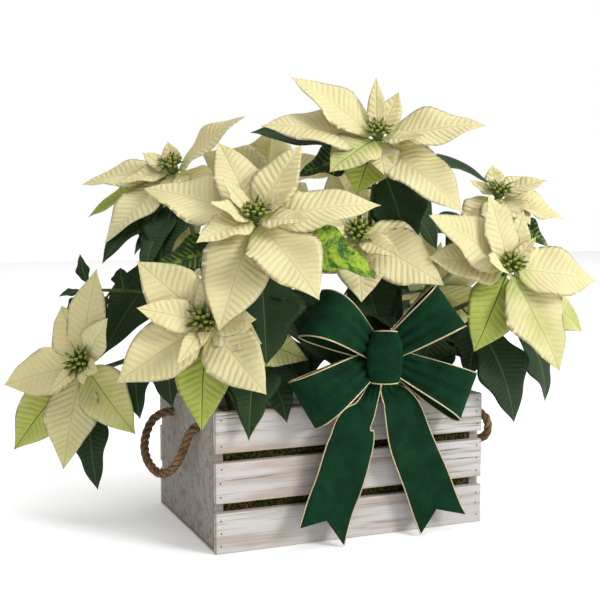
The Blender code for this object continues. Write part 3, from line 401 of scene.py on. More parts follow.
blooms = {
    "front_left": ((-112, -102, 354), -25, 50, (
    (294, 139, -5, 74, 0.05), (334, 106, 12, 54, 0.05), (35, 90, 25, 52, 0.05),
    (78, 134, -5, 66, 0.05), (146, 124, -12, 76, 0.05), (195, 134, -22, 78, 0.05),
    (304, 50, 35, 20, 0.0), (254, 53, 30, 32, 0.0), (227, 77, 5, 44, 0.04),
    (71, 47, 30, 18, 0.0), (116, 67, 15, 36, 0.0),
    )),
    "middle_top": ((53, -53, 444), -22, 48, (
    (297, 117, 20, 56, 0.05), (269, 133, 5, 66, 0.05), (298, 61, 20, 34, -0.04),
    (358, 64, 40, 22, -0.04), (27, 60, 20, 32, -0.04), (90, 122, 5, 66, 0.05),
    (120, 60, 20, 26, -0.04), (134, 134, -18, 72, 0.05), (223, 82, -5, 58, 0.05),
    (174, 56, -18, 44, 0.03), (203, 76, -32, 60, 0.03),
    )),
    "back_left_top": ((-149, 82, 408), -42, 52, (
    (265, 124, -8, 50, 0.05), (72, 111, 25, 54, 0.05), (339, 34, 30, 24, -0.04),
    (208, 122, -15, 58, 0.05), (242, 64, 0, 34, 0.03), (288, 44, 15, 26, 0.0),
    (120, 95, -10, 50, 0.05), (160, 70, -10, 44, 0.05), (253, 129, -22, 46, 0.05),
    )),
    "front_corner": ((-170, -110, 246), -30, 18, (
    (309, 93, 10, 60, 0.05), (275, 71, 25, 36, 0.03), (233, 110, 0, 64, 0.05),
    (181, 112, -12, 60, 0.05), (138, 100, 0, 62, 0.05), (93, 61, 30, 34, 0.0),
    (358, 47, 20, 24, 0.0), (199, 63, 40, 22, 0.0), (175, 34, 30, 14, 0.0),
    (111, 64, 0, 44, 0.03), (104, 131, -40, 52, 0.05),
    )),
    "far_left": ((-266, 55, 187), -35, 15, (
    (10, 107, 10, 50, 0.05), (252, 95, 0, 56, 0.05), (221, 139, -15, 66, 0.05),
    (186, 122, -5, 64, 0.05), (138, 105, -5, 60, 0.05), (44, 73, 30, 36, 0.0),
    (334, 73, -5, 50, 0.03), (111, 51, 40, 22, 0.0), (211, 50, 35, 20, 0.0),
    (145, 45, 40, 18, 0.0),
    )),
    "front_middle": ((15, -80, 333), -15, 25, (
    (182, 85, 5, 62, 0.05), (127, 112, 5, 68, 0.05), (139, 65, 30, 32, 0.0),
    (265, 34, 30, 16, 0.0), (106, 88, -5, 56, 0.05), (314, 57, 0, 44, 0.03),
    (235, 80, -5, 52, 0.03),
    )),
    "front_right": ((176, -139, 296), -5, 35, (
    (296, 114, 15, 64, 0.05), (277, 99, 0, 60, 0.05), (338, 84, 30, 48, 0.03),
    (19, 65, 25, 34, 0.0), (99, 109, -5, 70, 0.05), (50, 42, 40, 18, 0.0),
    (157, 129, -20, 78, 0.05), (210, 105, -30, 62, 0.05), (245, 80, 40, 36, 0.0),
    (107, 160, -35, 74, 0.05),
    )),
    "right_top": ((244, -7, 379), -15, 58, (
    (87, 62, 15, 34, 0.04), (103, 90, -18, 58, 0.05), (351, 38, 35, 30, -0.04),
    (241, 66, -25, 46, 0.05), (306, 40, 5, 26, 0.0), (150, 60, -15, 44, 0.05),
    (190, 74, -20, 50, 0.05), (50, 52, 5, 34, 0.0),
    )),
    "back_left": ((-110, 140, 325), -150, 45, (
    (20, 80, -5, 50, 0.05), (75, 92, 25, 56, 0.05), (130, 120, -12, 70, 0.05),
    (185, 125, -18, 70, 0.05), (235, 118, -10, 66, 0.05), (290, 110, 0, 62, 0.05),
    (340, 60, 30, 32, 0.0), (160, 60, 30, 32, 0.0), (55, 55, 32, 24, 0.0),
    )),
    "back_middle": ((-18, 118, 402), 180, 55, (
    (10, 85, 5, 60, 0.05), (62, 112, -5, 64, 0.05), (118, 122, -10, 70, 0.05),
    (170, 128, -18, 74, 0.05), (222, 120, -12, 66, 0.05), (285, 112, -4, 64, 0.05),
    (330, 60, 30, 32, 0.0), (145, 62, 28, 32, 0.0), (250, 55, 32, 22, 0.0),
    )),
    "back_right": ((112, 125, 350), 160, 45, (
    (25, 85, 8, 60, 0.05), (80, 112, -4, 64, 0.05), (135, 122, -12, 70, 0.05),
    (182, 126, -18, 74, 0.05), (232, 116, -10, 64, 0.05), (290, 105, 0, 62, 0.05),
    (345, 58, 30, 32, 0.0), (110, 60, 30, 24, 0.0), (205, 56, 34, 22, 0.0),
    )),
    "far_right": ((214, 104, 262), 120, 30, (
    (15, 90, 8, 60, 0.05), (70, 112, -4, 64, 0.05), (125, 120, -10, 66, 0.05),
    (178, 118, -14, 70, 0.05), (230, 115, -8, 64, 0.05), (295, 100, 0, 60, 0.05),
    (345, 55, 30, 24, 0.0), (150, 58, 30, 24, 0.0), (260, 52, 34, 22, 0.0),
    )),
}

bractTones = {
    ("front_corner", 3): 0.95, ("front_corner", 10): 0.4, ("far_left", 2): 0.7, ("far_left", 4): 0.45,
    ("front_right", 6): 0.3, ("front_right", 7): 0.9, ("front_right", 9): 0.5, ("middle_top", 8): 0.5,
    ("middle_top", 10): 0.95, ("far_left", 3): 0.2, ("back_left_top", 8): 0.85, ("back_left_top", 7): 0.3,
    ("back_right", 3): 0.4, ("back_left", 4): 0.4, ("back_middle", 3): 0.3, ("far_right", 4): 0.45,
}

# Plants: foot and fork in millimetres, the two flower heads, side shoots, then each leaf's branch, height
# up it, tip, width, arch, heading and tilt, and how many leaves the rule adds.

plants = {
    "plant_front_left": ((-84, -24), (-90, -34, 170), ("front_left", "front_corner"), (), (
        (1, 0.8, (-111, -135, 204), 78, 0.08, -15, 20), (2, 0.1, (-130, -128, 122), 54, 0.3, -18, 40),
        (1, 0.14, (-84, -121, 144), 46, 0.25, -10, 40), (1, 0.7, (-219, -78, 303), 50, 0.08, -30, 45),
        (1, 0.94, (8, -88, 259), 54, 0.12, -12, 40), (1, 0.35, (-41, -84, 149), 50, 0.1, -12, 25),
        (1, 0.55, (7, -84, 164), 56, 0.1, -8, 25),
    ), 4),
    "plant_far_left": (
        (-96, 16), (-110, 28, 168), ("back_left_top", "far_left"), ((1, 0.3, (-250, 92, 265)),), (
        (2, 0.78, (-249, 50, 39), 46, 0.1, -35, 10), (1, 0.5, (-234, 96, 184), 70, 0.08, -40, 35),
        (1, 0.8, (-238, 60, 297), 52, 0.08, -40, 55), (1, 0.72, (-211, 0, 301), 40, 0.08, -40, 55),
        (2, 0.35, (-191, -60, 149), 50, 0.12, -40, 30), (2, 0.45, (-216, 0, 135), 38, 0.15, -40, 30),
        (3, 0.98, (-257, 90, 307), 16, 0.05, -40, 20), (3, 0.99, (-282, 90, 259), 14, 0.05, -40, 50),
        (3, 0.96, (-277, 92, 235), 18, 0.05, -40, 50), (3, 0.8, (-240, 84, 232), 22, 0.06, -40, 50),
        (3, 0.7, (-213, 78, 291), 24, 0.06, -40, 45), (3, 0.5, (-198, 52, 277), 24, 0.06, -40, 45),
        (1, 0.6, (-206, 40, 307), 26, 0.08, -40, 50), (1, 0.8, (-192, 0, 301), 50, 0.08, -38, 50),
    ), 4),
    "plant_back_left": ((-56, 22), (-54, 40, 180), ("back_left", "back_middle"), (), (), 6),
    "plant_middle": ((54, -18), (46, -26, 190), ("middle_top", "front_middle"), (), (
        (1, 0.82, (74, -104, 316), 60, 0.1, -22, 35), (1, 0.86, (-74, 20, 446), 50, 0.06, -22, 50),
        (1, 0.9, (226, -20, 388), 44, 0.06, -10, 60), (2, 0.6, (76, -90, 266), 36, 0.1, -20, 40),
        (1, 0.62, (127, -60, 311), 48, 0.1, -15, 45), (1, 0.76, (-24, 0, 396), 48, 0.08, -22, 50),
        (2, 0.45, (-63, -80, 161), 44, 0.12, -15, 25), (2, 0.75, (43, -92, 208), 56, 0.1, -15, 30),
        (2, 0.6, (66, -90, 224), 50, 0.1, -10, 30), (2, 0.42, (-1, -84, 180), 54, 0.1, -15, 25),
    ), 3),
    "plant_front_right": ((92, -24), (110, -34, 180), ("front_right", "right_top"), (), (
        (1, 0.45, (196, -120, 114), 60, 0.22, -12, 20), (1, 0.62, (273, -70, 125), 42, 0.15, -5, 25),
        (1, 0.88, (300, -76, 214), 44, 0.08, 0, 45), (2, 0.82, (315, -14, 309), 40, 0.08, 0, 50),
        (2, 0.86, (165, -30, 352), 46, 0.08, -20, 55), (1, 0.25, (172, -78, 182), 46, 0.15, -10, 40),
        (2, 0.6, (146, -20, 368), 46, 0.08, -20, 50), (1, 0.3, (115, -86, 152), 44, 0.12, -5, 25),
        (1, 0.5, (154, -88, 164), 46, 0.1, -5, 30), (1, 0.35, (90, -84, 174), 46, 0.1, -8, 25),
    ), 3),
    "plant_back_right": ((82, 24), (98, 44, 180), ("back_right", "far_right"), (), (), 6),
}

leafTones = {
    ("plant_front_left", 3): 0.35, ("plant_front_left", 4): 1.0, ("plant_middle", 5): 0.3,
    ("plant_front_right", 3): 0.4, ("plant_front_right", 6): 0.3,
}

growth = {
    "headHeight": 24 * mm, "gap": 0.3 * mm, "bractDepth": 2.5 * mm, "bractDepthShare": 0.06,
    "bractStep": 2 * mm, "bractRoot": 1.5 * mm, "bractStalk": 3.0 * mm, "bractStalkShare": 0.06,
    "leafStalk": 2.6 * mm, "leafStalkShare": 0.24,
    "scarStep": 22 * mm, "scarRise": 0.10, "scarWidth": 2 * mm,     # old leaf scars along a stem
    "stemRadius": 3.8 * mm, "branchRadius": 2.9 * mm, "shootRadius": 1.8 * mm, "branchEnd": 6 * mm,
    "goldenAngle": 137.5, "moreStart": 0.12, "moreStretch": 0.62, "moreLength": (0.070, 0.100),
    "moreDroop": (-25, 15), "moreWidth": 0.5, "moreArch": 0.08,
    "soilTop": 103.8 * mm, "stemInSoil": 30 * mm, "soilDome": 4 * mm,
}


def directionOf(heading, tilt):
    turn, lift = math.radians(heading), math.radians(tilt)
    return Vector((math.sin(turn) * math.cos(lift), -math.cos(turn) * math.cos(lift), math.sin(lift)))


def headAxes(bloom):
    facing = directionOf(bloom[1], bloom[2])
    up = (zAxis - zAxis.dot(facing) * facing).normalized()
    return up.cross(facing), up, facing


def bractBlade(name, number):
    bloom = blooms[name]
    clock, length, lift, width, arch = bloom[3][number]
    right, up, facing = headAxes(bloom)
    middle = Vector(bloom[0]) * mm
    angle, rise = math.radians(clock), math.radians(lift)
    outward = right * math.sin(angle) + up * math.cos(angle)
    tip = middle + (outward * math.cos(rise) + facing * math.sin(rise)) * length * mm
    depth = growth["bractDepth"] + growth["bractDepthShare"] * length * mm
    depth += growth["bractStep"] * (number % 2)
    root = middle - facing * depth + outward * growth["bractRoot"]
    face = facing * math.cos(rise) - outward * math.sin(rise)
    tone = bractTones.get((name, number), 0.12 if length < 70 else 0)
    seed = list(blooms).index(name) * 3.37 + number * 0.73
    look = bladeLook
    return Blade(root, tip, face, width * mm, growth["bractStalk"], growth["bractStalkShare"], arch,
                 look["foldBract"], look["waveBract"], 0, number * look["phaseBract"], tone, seed)


def stemRuns(plant):
    foot = Vector((*plant[0], 0)) * mm
    fork = Vector(plant[1]) * mm
    base = foot + zAxis * (growth["soilTop"] - growth["stemInSoil"])
    runs = [splineThrough([base, foot + zAxis * (growth["soilTop"] + 3 * growth["soilDome"]), fork], 1)]
    for name in plant[2]:
        facing = headAxes(blooms[name])[2]
        end = Vector(blooms[name][0]) * mm - facing * (growth["headHeight"] + growth["gap"])
        reach = (end - fork).length
        leave = fork + (zAxis + (end - fork).normalized() * 0.6).normalized() * reach * 0.3
        arrive = end - facing * min(40 * mm, reach * 0.3)
        run = splineThrough([fork - zAxis * 2 * mm, leave, arrive, end - facing * growth["branchEnd"]], 2)
        runs.append([*run, end])
    for branch, height, end in plant[3]:
        start = pointAlong(runs[branch], height)
        end = Vector(end) * mm
        runs.append(splineThrough([start, start.lerp(end, 0.5) + zAxis * 8 * mm, end], 2))
    return runs


def leafBlade(root, tip, face, width, arch, number, tone, seed):
    look = bladeLook
    return Blade(root, tip, face, width, growth["leafStalk"], growth["leafStalkShare"], arch, look["foldLeaf"],
                 look["waveLeaf"], look["lobeLeaf"], number * look["phaseLeaf"], tone, seed)


def leafBlades(name):
    plant = plants[name]
    runs = stemRuns(plant)
    first = list(plants).index(name) * 5.1
    for number, (branch, height, tip, width, arch, heading, tilt) in enumerate(plant[4]):
        yield leafBlade(pointAlong(runs[branch], height), Vector(tip) * mm, directionOf(heading, tilt),
                        width * mm, arch, number, leafTones.get((name, number), 0), first + number * 0.61)
    draw = random.Random(name)
    turn = draw.uniform(0, 360)
    for number in range(plant[5]):
        turn += growth["goldenAngle"]
        height = growth["moreStart"] + growth["moreStretch"] * number / plant[5]
        root = pointAlong(runs[1 + number % 2], height)
        angle = math.radians(turn)
        length = draw.uniform(*growth["moreLength"])
        droop = math.radians(draw.uniform(*growth["moreDroop"]))
        way = Vector((math.cos(angle) * math.cos(droop), math.sin(angle) * math.cos(droop), math.sin(droop)))
        yield leafBlade(root, root + way * length, zAxis.copy(), length * growth["moreWidth"],
                        growth["moreArch"], number, 0, first + 20 + number * 0.47)


def bladeFinish(name, isBract):
    skin = Finish(name, **{"Specular IOR Level": 0.3 if isBract else 0.2,
                           "Subsurface Weight": 0.18 if isBract else 0.0})
    skin.shader.inputs["Subsurface Radius"].default_value = (1.0, 0.8, 0.35)
    skin.shader.inputs["Subsurface Scale"].default_value = 0.004
    x, t, under = skin.parts(skin.own("run"))
    tone, seed, length = skin.parts(skin.own("tint"))
    away = x * length
    spot = skin.place()
    slow = skin.noise(spot, 26, 2.0)
    uneven = skin.noise(spot, 75, 2.0)
    fine = skin.noise(spot, 160, 3.0)
    # side veins leave the rib at a slant, with a thin line and a soft valley each; the valleys also get
    # painted shade in the colour
    vein = (t * length - away * bladeLook["veinLean"]) / bladeLook["veinPitch"]
    vein = vein + (slow - 0.5) * 0.8 + (uneven - 0.5) * 0.55
    near = skin.maths("PINGPONG", vein, 0.5)          # 0 on a vein, 0.5 midway
    veinLine = (1 - skin.step(near, 0.02, 0.085)) * skin.step(uneven, 0.30, 0.60)
    valley = 1 - skin.step(near, 0.0, 0.42)
    ribHalf = (1 - t) * 0.5 * mm + 0.28 * mm
    rib = 1 - skin.step(away / ribHalf, 0.6, 1.5)
    offRib = skin.step(away, 0.6 * mm, 5 * mm)
    net = skin.cells(spot, 420, "DISTANCE_TO_EDGE")
    netLine = 1 - skin.step(net, 0.0, 0.09)
    if isBract:
        cream = skin.mix(slow, (0.71, 0.635, 0.365), (0.62, 0.54, 0.27))
        cream = skin.mix(skin.step(t, 0.28, 0.0) * 0.8, cream, (0.50, 0.54, 0.16))     # greener near the head
        # painted shade in the valleys between the side veins
        cream = skin.mix(valley * offRib * 0.26, cream, (0.56, 0.49, 0.22))
        cream = skin.mix(veinLine * offRib * 0.25, cream, (0.50, 0.47, 0.20))
        cream = skin.mix(skin.step(fine, 0.60, 0.8) * 0.2, cream, (0.58, 0.49, 0.25))
        cream = skin.mix(rib * 0.6, cream, (0.50, 0.49, 0.20))
        green = skin.mix(slow, (0.42, 0.45, 0.10), (0.28, 0.36, 0.055))
        green = skin.mix(veinLine * 0.7 * offRib, green, (0.10, 0.18, 0.03))
        green = skin.mix(skin.clamp(rib * 1.2), green, (0.05, 0.12, 0.02))
        share = skin.clamp(tone * 1.5 - x * 1.6 + (slow - 0.5) * 0.9)
        colour = skin.mix(share * skin.step(tone, 0.12, 0.3), cream, green)
        colour = skin.mix(under * 0.35, colour, (0.58, 0.56, 0.28))
        roughness = 0.52 + fine * 0.12
        height = valley * -0.7 * offRib + netLine * -0.12 + uneven * 0.25 + fine * 0.12 - rib * 0.5
        skin.bump(height, 1.2 * mm, 0.75)
    else:
        dark = skin.mix(slow, (0.008, 0.026, 0.007), (0.016, 0.045, 0.010))
        dark = skin.mix(skin.step(seed, 0.55, 1.0) * 0.5, dark, (0.030, 0.070, 0.016))
        # painted shade in the valleys between the side veins
        dark = skin.mix(valley * offRib * 0.35, dark, (0.005, 0.018, 0.006))
        dark = skin.mix(veinLine * offRib * 0.40, dark, (0.05, 0.10, 0.035))
        dark = skin.mix(rib * 0.6, dark, (0.11, 0.17, 0.065))
        patch = skin.noise(spot, 90, 4.0, 0.65)
        bright = skin.mix(skin.step(patch, 0.40, 0.62), (0.045, 0.14, 0.012), (0.30, 0.42, 0.03))
        bright = skin.mix(veinLine * 0.6 * offRib, bright, (0.04, 0.12, 0.015))
        beside = skin.clamp(1 - skin.step(near, 0.04, 0.26) + 1 - skin.step(away, 0.5 * mm, 5 * mm))
        share = skin.clamp(skin.step(tone, 0.5, 0.95) * (1 - 0.45 * skin.step(patch, 0.55, 0.35))
                           + skin.step(tone, 0.05, 0.4) * beside * skin.step(patch, 0.35, 0.6) * 0.8)
        colour = skin.mix(share, dark, bright)
        colour = skin.mix(under * 0.6, colour, (0.055, 0.10, 0.040))
        roughness = 0.48 + fine * 0.16 + under * 0.2
        height = valley * -0.6 * offRib + netLine * -0.14 + uneven * 0.2 + fine * 0.08 - rib * 0.4
        skin.bump(height, 1.0 * mm, 0.7)
    return skin.paint(colour, roughness)


def stemFinish():
    skin = Finish("greenStem", **{"Specular IOR Level": 0.4})
    spot = skin.place((1, 1, 0.35))
    patch = skin.noise(spot, 60, 4.0)
    colour = skin.mix(skin.step(patch, 0.35, 0.7), (0.035, 0.07, 0.018), (0.09, 0.12, 0.03))
    colour = skin.mix(skin.step(skin.noise(spot, 240, 2.0), 0.6, 0.75) * 0.5, colour, (0.16, 0.11, 0.06))
    skin.bump(patch, 0.6 * mm, 0.5)
    return skin.paint(colour, 0.5 + patch * 0.15)


def makeBloom(name, bracts, stems):
    bm = newBm()
    count = 0
    for number in range(len(blooms[name][3])):
        blade = settled(bractBlade(name, number), "bloom_" + name)
        if blade:
            addBlade(bm, blade)
            count += 1
    finishPiece("bracts_" + name, bm, bracts, ["bloom_" + name])
    head = newBm()
    middle, facing = Vector(blooms[name][0]) * mm, headAxes(blooms[name])[2]
    points = [middle - facing * growth["headHeight"] * share for share in (1, 0.7, 0.4, 0.15, 0.02)]
    addTube(head, points, lambda angle, reached: (3.1 + 1.5 * reached / growth["headHeight"]) * mm, 10)
    finishPiece("head_" + name, head, stems)
    return count


def makePlant(name, leaves, stems):
    bm = newBm()
    count = 0
    for blade in leafBlades(name):
        blade = settled(blade, name)
        if blade:
            addBlade(bm, blade)
            count += 1
    finishPiece("leaves_" + name, bm, leaves, [name])
    wood = newBm()
    radii = [growth["stemRadius"], growth["branchRadius"], growth["branchRadius"], growth["shootRadius"]]
    for run, radius in zip(stemRuns(plants[name]), radii):
        fine = splineThrough(run, 4)

        def stemRadius(angle, reached, radius=radius):
            past = reached % growth["scarStep"] - growth["scarStep"] / 2
            return radius * (1 + growth["scarRise"] * math.exp(-(past / growth["scarWidth"]) ** 2))
        addTube(wood, fine, stemRadius, 10)
    finishPiece("stems_" + name, wood, stems)
    return count


# The small flower cups in the middle of each head

cupLook = {
    "cups": 17, "spread": 60, "length": 10 * mm, "radius": 2.4 * mm, "lift": 2.0 * mm, "foot": 7 * mm,
    "stalk": 0.9 * mm, "bead": 0.75 * mm, "ball": 7.0 * mm, "ballDown": 2.2, "cupTurn": (-12, 12),
    "spikes": 11, "spikeSpread": 66, "spikeLength": (13 * mm, 20 * mm), "spikeWidth": 4.2 * mm,
    "spikeTurn": (-14, 14), "spikeTilt": (-14, 8), "spikeOut": 1.5, "spikeAside": 3,
}


def addCup(bm, start, way, tone):
    # a round green cup with a paler mouth and a pair of yellow beads, on a short stalk
    runLayer = bm.verts.layers.float_vector["run"]
    tintLayer = bm.verts.layers.float_vector["tint"]
    look = cupLook
    turn = way.to_track_quat("Z", "Y").to_matrix().to_4x4()
    place = Matrix.Translation(start + way * look["length"] * 0.62) @ turn
    body = bmesh.ops.create_uvsphere(bm, u_segments=10, v_segments=8, radius=1, matrix=Matrix())["verts"]
    for vert in body:
        z = vert.co.z
        pinch = 1 - 0.25 * blendStep(0.5, 1, z)
        vert[runLayer] = (0, (z + 1) / 2, 0)
        vert[tintLayer] = (tone, 0.5, 0)
        vert.co = place @ Vector((vert.co.x * pinch * look["radius"], vert.co.y * pinch * look["radius"],
                                  z * look["length"] * 0.38))
    stalk = [start, start + way * look["length"] * 0.3]
    addTube(bm, stalk, lambda angle, reached: look["stalk"], 6, (tone, 0.5, 0))
    for side in (-1, 1):
        bead = place @ Vector((side * look["radius"] * 0.62, 0.3 * mm * side, look["length"] * 0.34))
        beadVerts = bmesh.ops.create_icosphere(bm, subdivisions=1, radius=look["bead"],
                                               matrix=Matrix.Translation(bead))["verts"]
        for vert in beadVerts:
            vert[runLayer] = (0, 1, 0)
            vert[tintLayer] = (1, 0.5, 0)


def cupFinish():
    skin = Finish("flowerCup", **{"Specular IOR Level": 0.5})
    t = skin.parts(skin.own("run"))[1]
    tone = skin.parts(skin.own("tint"))[0]
    patch = skin.noise(skin.place(), 300, 3.0)
    green = skin.mix(skin.step(t, 0.35, 0.95), (0.05, 0.09, 0.012), (0.22, 0.27, 0.04))
    green = skin.mix(patch * 0.4, green, (0.13, 0.18, 0.025))
    colour = skin.mix(skin.step(tone, 0.6, 0.9), green, (0.60, 0.47, 0.07))
    skin.bump(patch, 0.3 * mm, 0.5)
    return skin.paint(colour, 0.42)


def spikeFinish():
    skin = Finish("darkBracteole", **{"Specular IOR Level": 0.4})
    t = skin.parts(skin.own("run"))[1]
    patch = skin.noise(skin.place(), 200, 3.0)
    colour = skin.mix(patch, (0.018, 0.045, 0.012), (0.06, 0.11, 0.02))
    colour = skin.mix(skin.step(t, 0.75, 1.0) * 0.6, colour, (0.05, 0.035, 0.02))
    skin.bump(patch, 0.3 * mm, 0.4)
    return skin.paint(colour, 0.45)


def makeCups(name, cups, spikes):
    look = cupLook
    right, up, facing = headAxes(blooms[name])
    middle = Vector(blooms[name][0]) * mm
    draw = random.Random("cups " + name)
    bm = newBm()
    bmesh.ops.create_uvsphere(bm, u_segments=16, v_segments=8, radius=look["ball"],
                              matrix=Matrix.Translation(middle - facing * look["ballDown"] * mm))
    for number in range(look["cups"]):
        share = math.sqrt((number + 0.3) / look["cups"])
        angle = math.radians(growth["goldenAngle"] * number + draw.uniform(*look["cupTurn"]))
        lean = math.radians(look["spread"] * share)
        sideways = right * math.sin(angle) + up * math.cos(angle)
        way = facing * math.cos(lean) + sideways * math.sin(lean)
        start = middle + facing * look["lift"] + sideways * look["foot"] * share
        addCup(bm, start, way, draw.uniform(0, 0.4))
    finishPiece("cups_" + name, bm, cups, ["buds_" + name])
    leaflets = newBm()
    for number in range(look["spikes"]):
        angle = math.radians(360 / look["spikes"] * number + draw.uniform(*look["spikeTurn"]))
        lean = math.radians(look["spikeSpread"] + draw.uniform(*look["spikeTilt"]))
        sideways = right * math.sin(angle) + up * math.cos(angle)
        way = facing * math.cos(lean) + sideways * math.sin(lean)
        root = middle + facing * look["spikeOut"] * mm + sideways * look["spikeAside"] * mm
        face = facing * math.sin(lean) - sideways * math.cos(lean)
        length = draw.uniform(*look["spikeLength"])
        addBlade(leaflets, Blade(
            root, root + way * length, face, look["spikeWidth"], stalk=1.4 * mm, stalkShare=0.05, arch=0.06,
            fold=0.2, wave=0.1, lobe=0, phase=number * 1.3, tone=0, seed=number * 0.37))
    finishPiece("bracteoles_" + name, leaflets, spikes)


# The bow: one wired velvet ribbon in loops and tails, with a twisted gold wire along both edges

bow = {
    "middle": Vector((21, -130, 203)) * mm,
    "ribbonWidth": 56 * mm, "thickness": 0.9 * mm,
    "loops": (   # fold from the middle, the width's direction, front and back bellies, pinch
        ((-80, 6, 48), (29, 10, 44), 30, 12, 0.3),
        ((83, 6, 48), (-27, 18, 44), 30, 12, 0.3),
        ((-90, 6, -49), (-22, 12, 43), 30, 10, 0.3),
        ((103, 6, -52), (22, 2, 51), 30, 10, 0.3),
        ((-8, -24, 1), (0, 0, 27), 19, 19, 0.7),
    ),
    "tails": (   # middle points and widths
        ((17, -130, 192, 14), (10, -131, 168, 17), (-2, -137, 147, 27), (-14, -137, 132, 44),
         (-17, -133, 110, 54), (-26, -127, 71, 56), (-38, -127, 42, 56), (-51, -135, 14, 57)),
        ((25, -130, 192, 14), (29, -131, 167, 21), (36, -137, 155, 35), (44, -137, 138, 45),
         (56, -133, 105, 52), (78, -127, 61, 55), (91, -127, 28, 57), (96, -135, 11, 59)),
    ),
    "notch": 18 * mm, "notchRows": 14,
    "rowsLoop": 64, "rowsTail": 60, "columns": 16,
    "pleat": 3.4 * mm, "pleats": 3.2,      # gathers beside the pinched middle
    "barrel": (0.24, 0.46),                # how far the gathered middle narrows, below and above
    "wire": 0.85 * mm, "wireTwist": 3.2 * mm,
    "core": (0.011, 0.009, 0.014), "coreFolds": 9, "coreFold": 0.8,     # the gathers behind the middle
}


def loopRows(loop, rows):
    out = Vector(loop[0]) * mm
    reach = out.length
    out.normalize()
    across = Vector(loop[1]).normalized()
    swell = across.cross(out)
    if swell.y > 0:
        swell.negate()
    for step in range(rows + 1):
        share = step / rows
        swing = max(0, math.sin(math.pi * share))
        belly = math.sin(2 * math.pi * share)
        belly *= loop[2] if belly > 0 else loop[3]
        pinch = loop[4] + (1 - loop[4]) * swing ** 0.6
        place = bow["middle"] + out * reach * swing ** 0.75 + swell * belly * mm
        yield place, across, bow["ribbonWidth"] / 2 * pinch, swell, 1 - swing ** 0.7


def tailRows(tail, rows):
    points = splineThrough([Vector(row[:3]) * mm for row in tail], rows // (len(tail) - 1))
    widths = splineThrough([Vector((row[3], 0, 0)) for row in tail], rows // (len(tail) - 1))
    for number, (point, width) in enumerate(zip(points, widths)):
        before, after = points[max(0, number - 1)], points[min(len(points) - 1, number + 1)]
        along = (after - before).normalized()
        across = along.cross(yAxis).normalized()
        yield point, across, width.x / 2 * mm, along.cross(across), max(0, 1 - 4 * number / len(points))


def addRibbon(bm, rows, seed, notch=0.0, barrel=None):
    # a wide thin band through the rows, with gathers where it is pinched; returns its two edges
    rows = list(rows)
    last = len(rows) - 1
    grid = bmesh.ops.create_grid(bm, x_segments=bow["columns"], y_segments=last, size=1)["verts"]
    runLayer = bm.verts.layers.float_vector["run"]
    reached = [0]
    for before, after in zip(rows, rows[1:]):
        reached.append(reached[-1] + (after[0] - before[0]).length)
    edges = {-1: [None] * (last + 1), 1: [None] * (last + 1)}
    upTail = (rows[-2][0] - rows[-1][0]).normalized()
    for vert in grid:
        number = round((vert.co.y + 1) / 2 * last)
        s = vert.co.x
        point, across, half, normal, gather = rows[number]
        pleats = math.sin(s * math.pi * bow["pleats"] + seed) * bow["pleat"] * gather
        soft = wobble(reached[number] * 22, s * 1.3, seed) * 1.1 * mm
        place = point + across * s * half + normal * (pleats + soft)
        if barrel:
            place.x -= (place.x - bow["middle"].x + 4 * mm) * barrel[s > 0] * s * s
        cut = (number - last + bow["notchRows"]) / bow["notchRows"]
        if notch and cut > 0:
            place += upTail * notch * (1 - abs(s)) * cut
        vert.co = place
        vert[runLayer] = (s, reached[number], 0)
        if abs(s) > 0.999:
            edges[1 if s > 0 else -1][number] = place
    return edges


def velvetFinish():
    skin = Finish("darkGreenVelvet", **{
        "Specular IOR Level": 0.1, "Sheen Weight": 0.05, "Sheen Roughness": 0.4})
    skin.shader.inputs["Sheen Tint"].default_value = (0.16, 0.60, 0.30, 1)
    spot = skin.place()
    brushed = skin.noise(spot, 38, 4.0, 0.6, 0.6)
    pile = skin.noise(spot, 900, 2.0)
    colour = skin.mix(skin.step(brushed, 0.35, 0.72), (0.0018, 0.017, 0.0062), (0.0036, 0.033, 0.0125))
    colour = skin.mix(skin.step(pile, 0.4, 0.8) * 0.25, colour, (0.012, 0.075, 0.034))
    skin.bump(pile * 0.5 + brushed * 0.5, 0.4 * mm, 0.5)
    return skin.paint(colour, 0.9)


def goldFinish():
    skin = Finish("goldThread", **{"Metallic": 0.6, "Specular IOR Level": 0.6})
    around, along = skin.parts(skin.own("run"))[:2]
    glint = skin.noise(skin.place(), 700, 2.0)
    twist = skin.maths("PINGPONG", along / bow["wireTwist"] + around * 0.5, 0.25) * 4
    groove = 1 - skin.step(twist, 0.05, 0.55)
    colour = skin.mix(glint, (0.50, 0.38, 0.17), (0.86, 0.74, 0.46))
    # painted shade in the grooves of the twist
    colour = skin.mix(groove * 0.8, colour, (0.09, 0.06, 0.025))
    skin.bump(glint, 0.3 * mm, 0.6)
    return skin.paint(colour, 0.34 + glint * 0.2)


def wireRadius(angle, reached):
    turn = 2 * math.pi * reached / bow["wireTwist"]
    return bow["wire"] * (0.72 + 0.38 * abs(math.cos(angle - turn)))


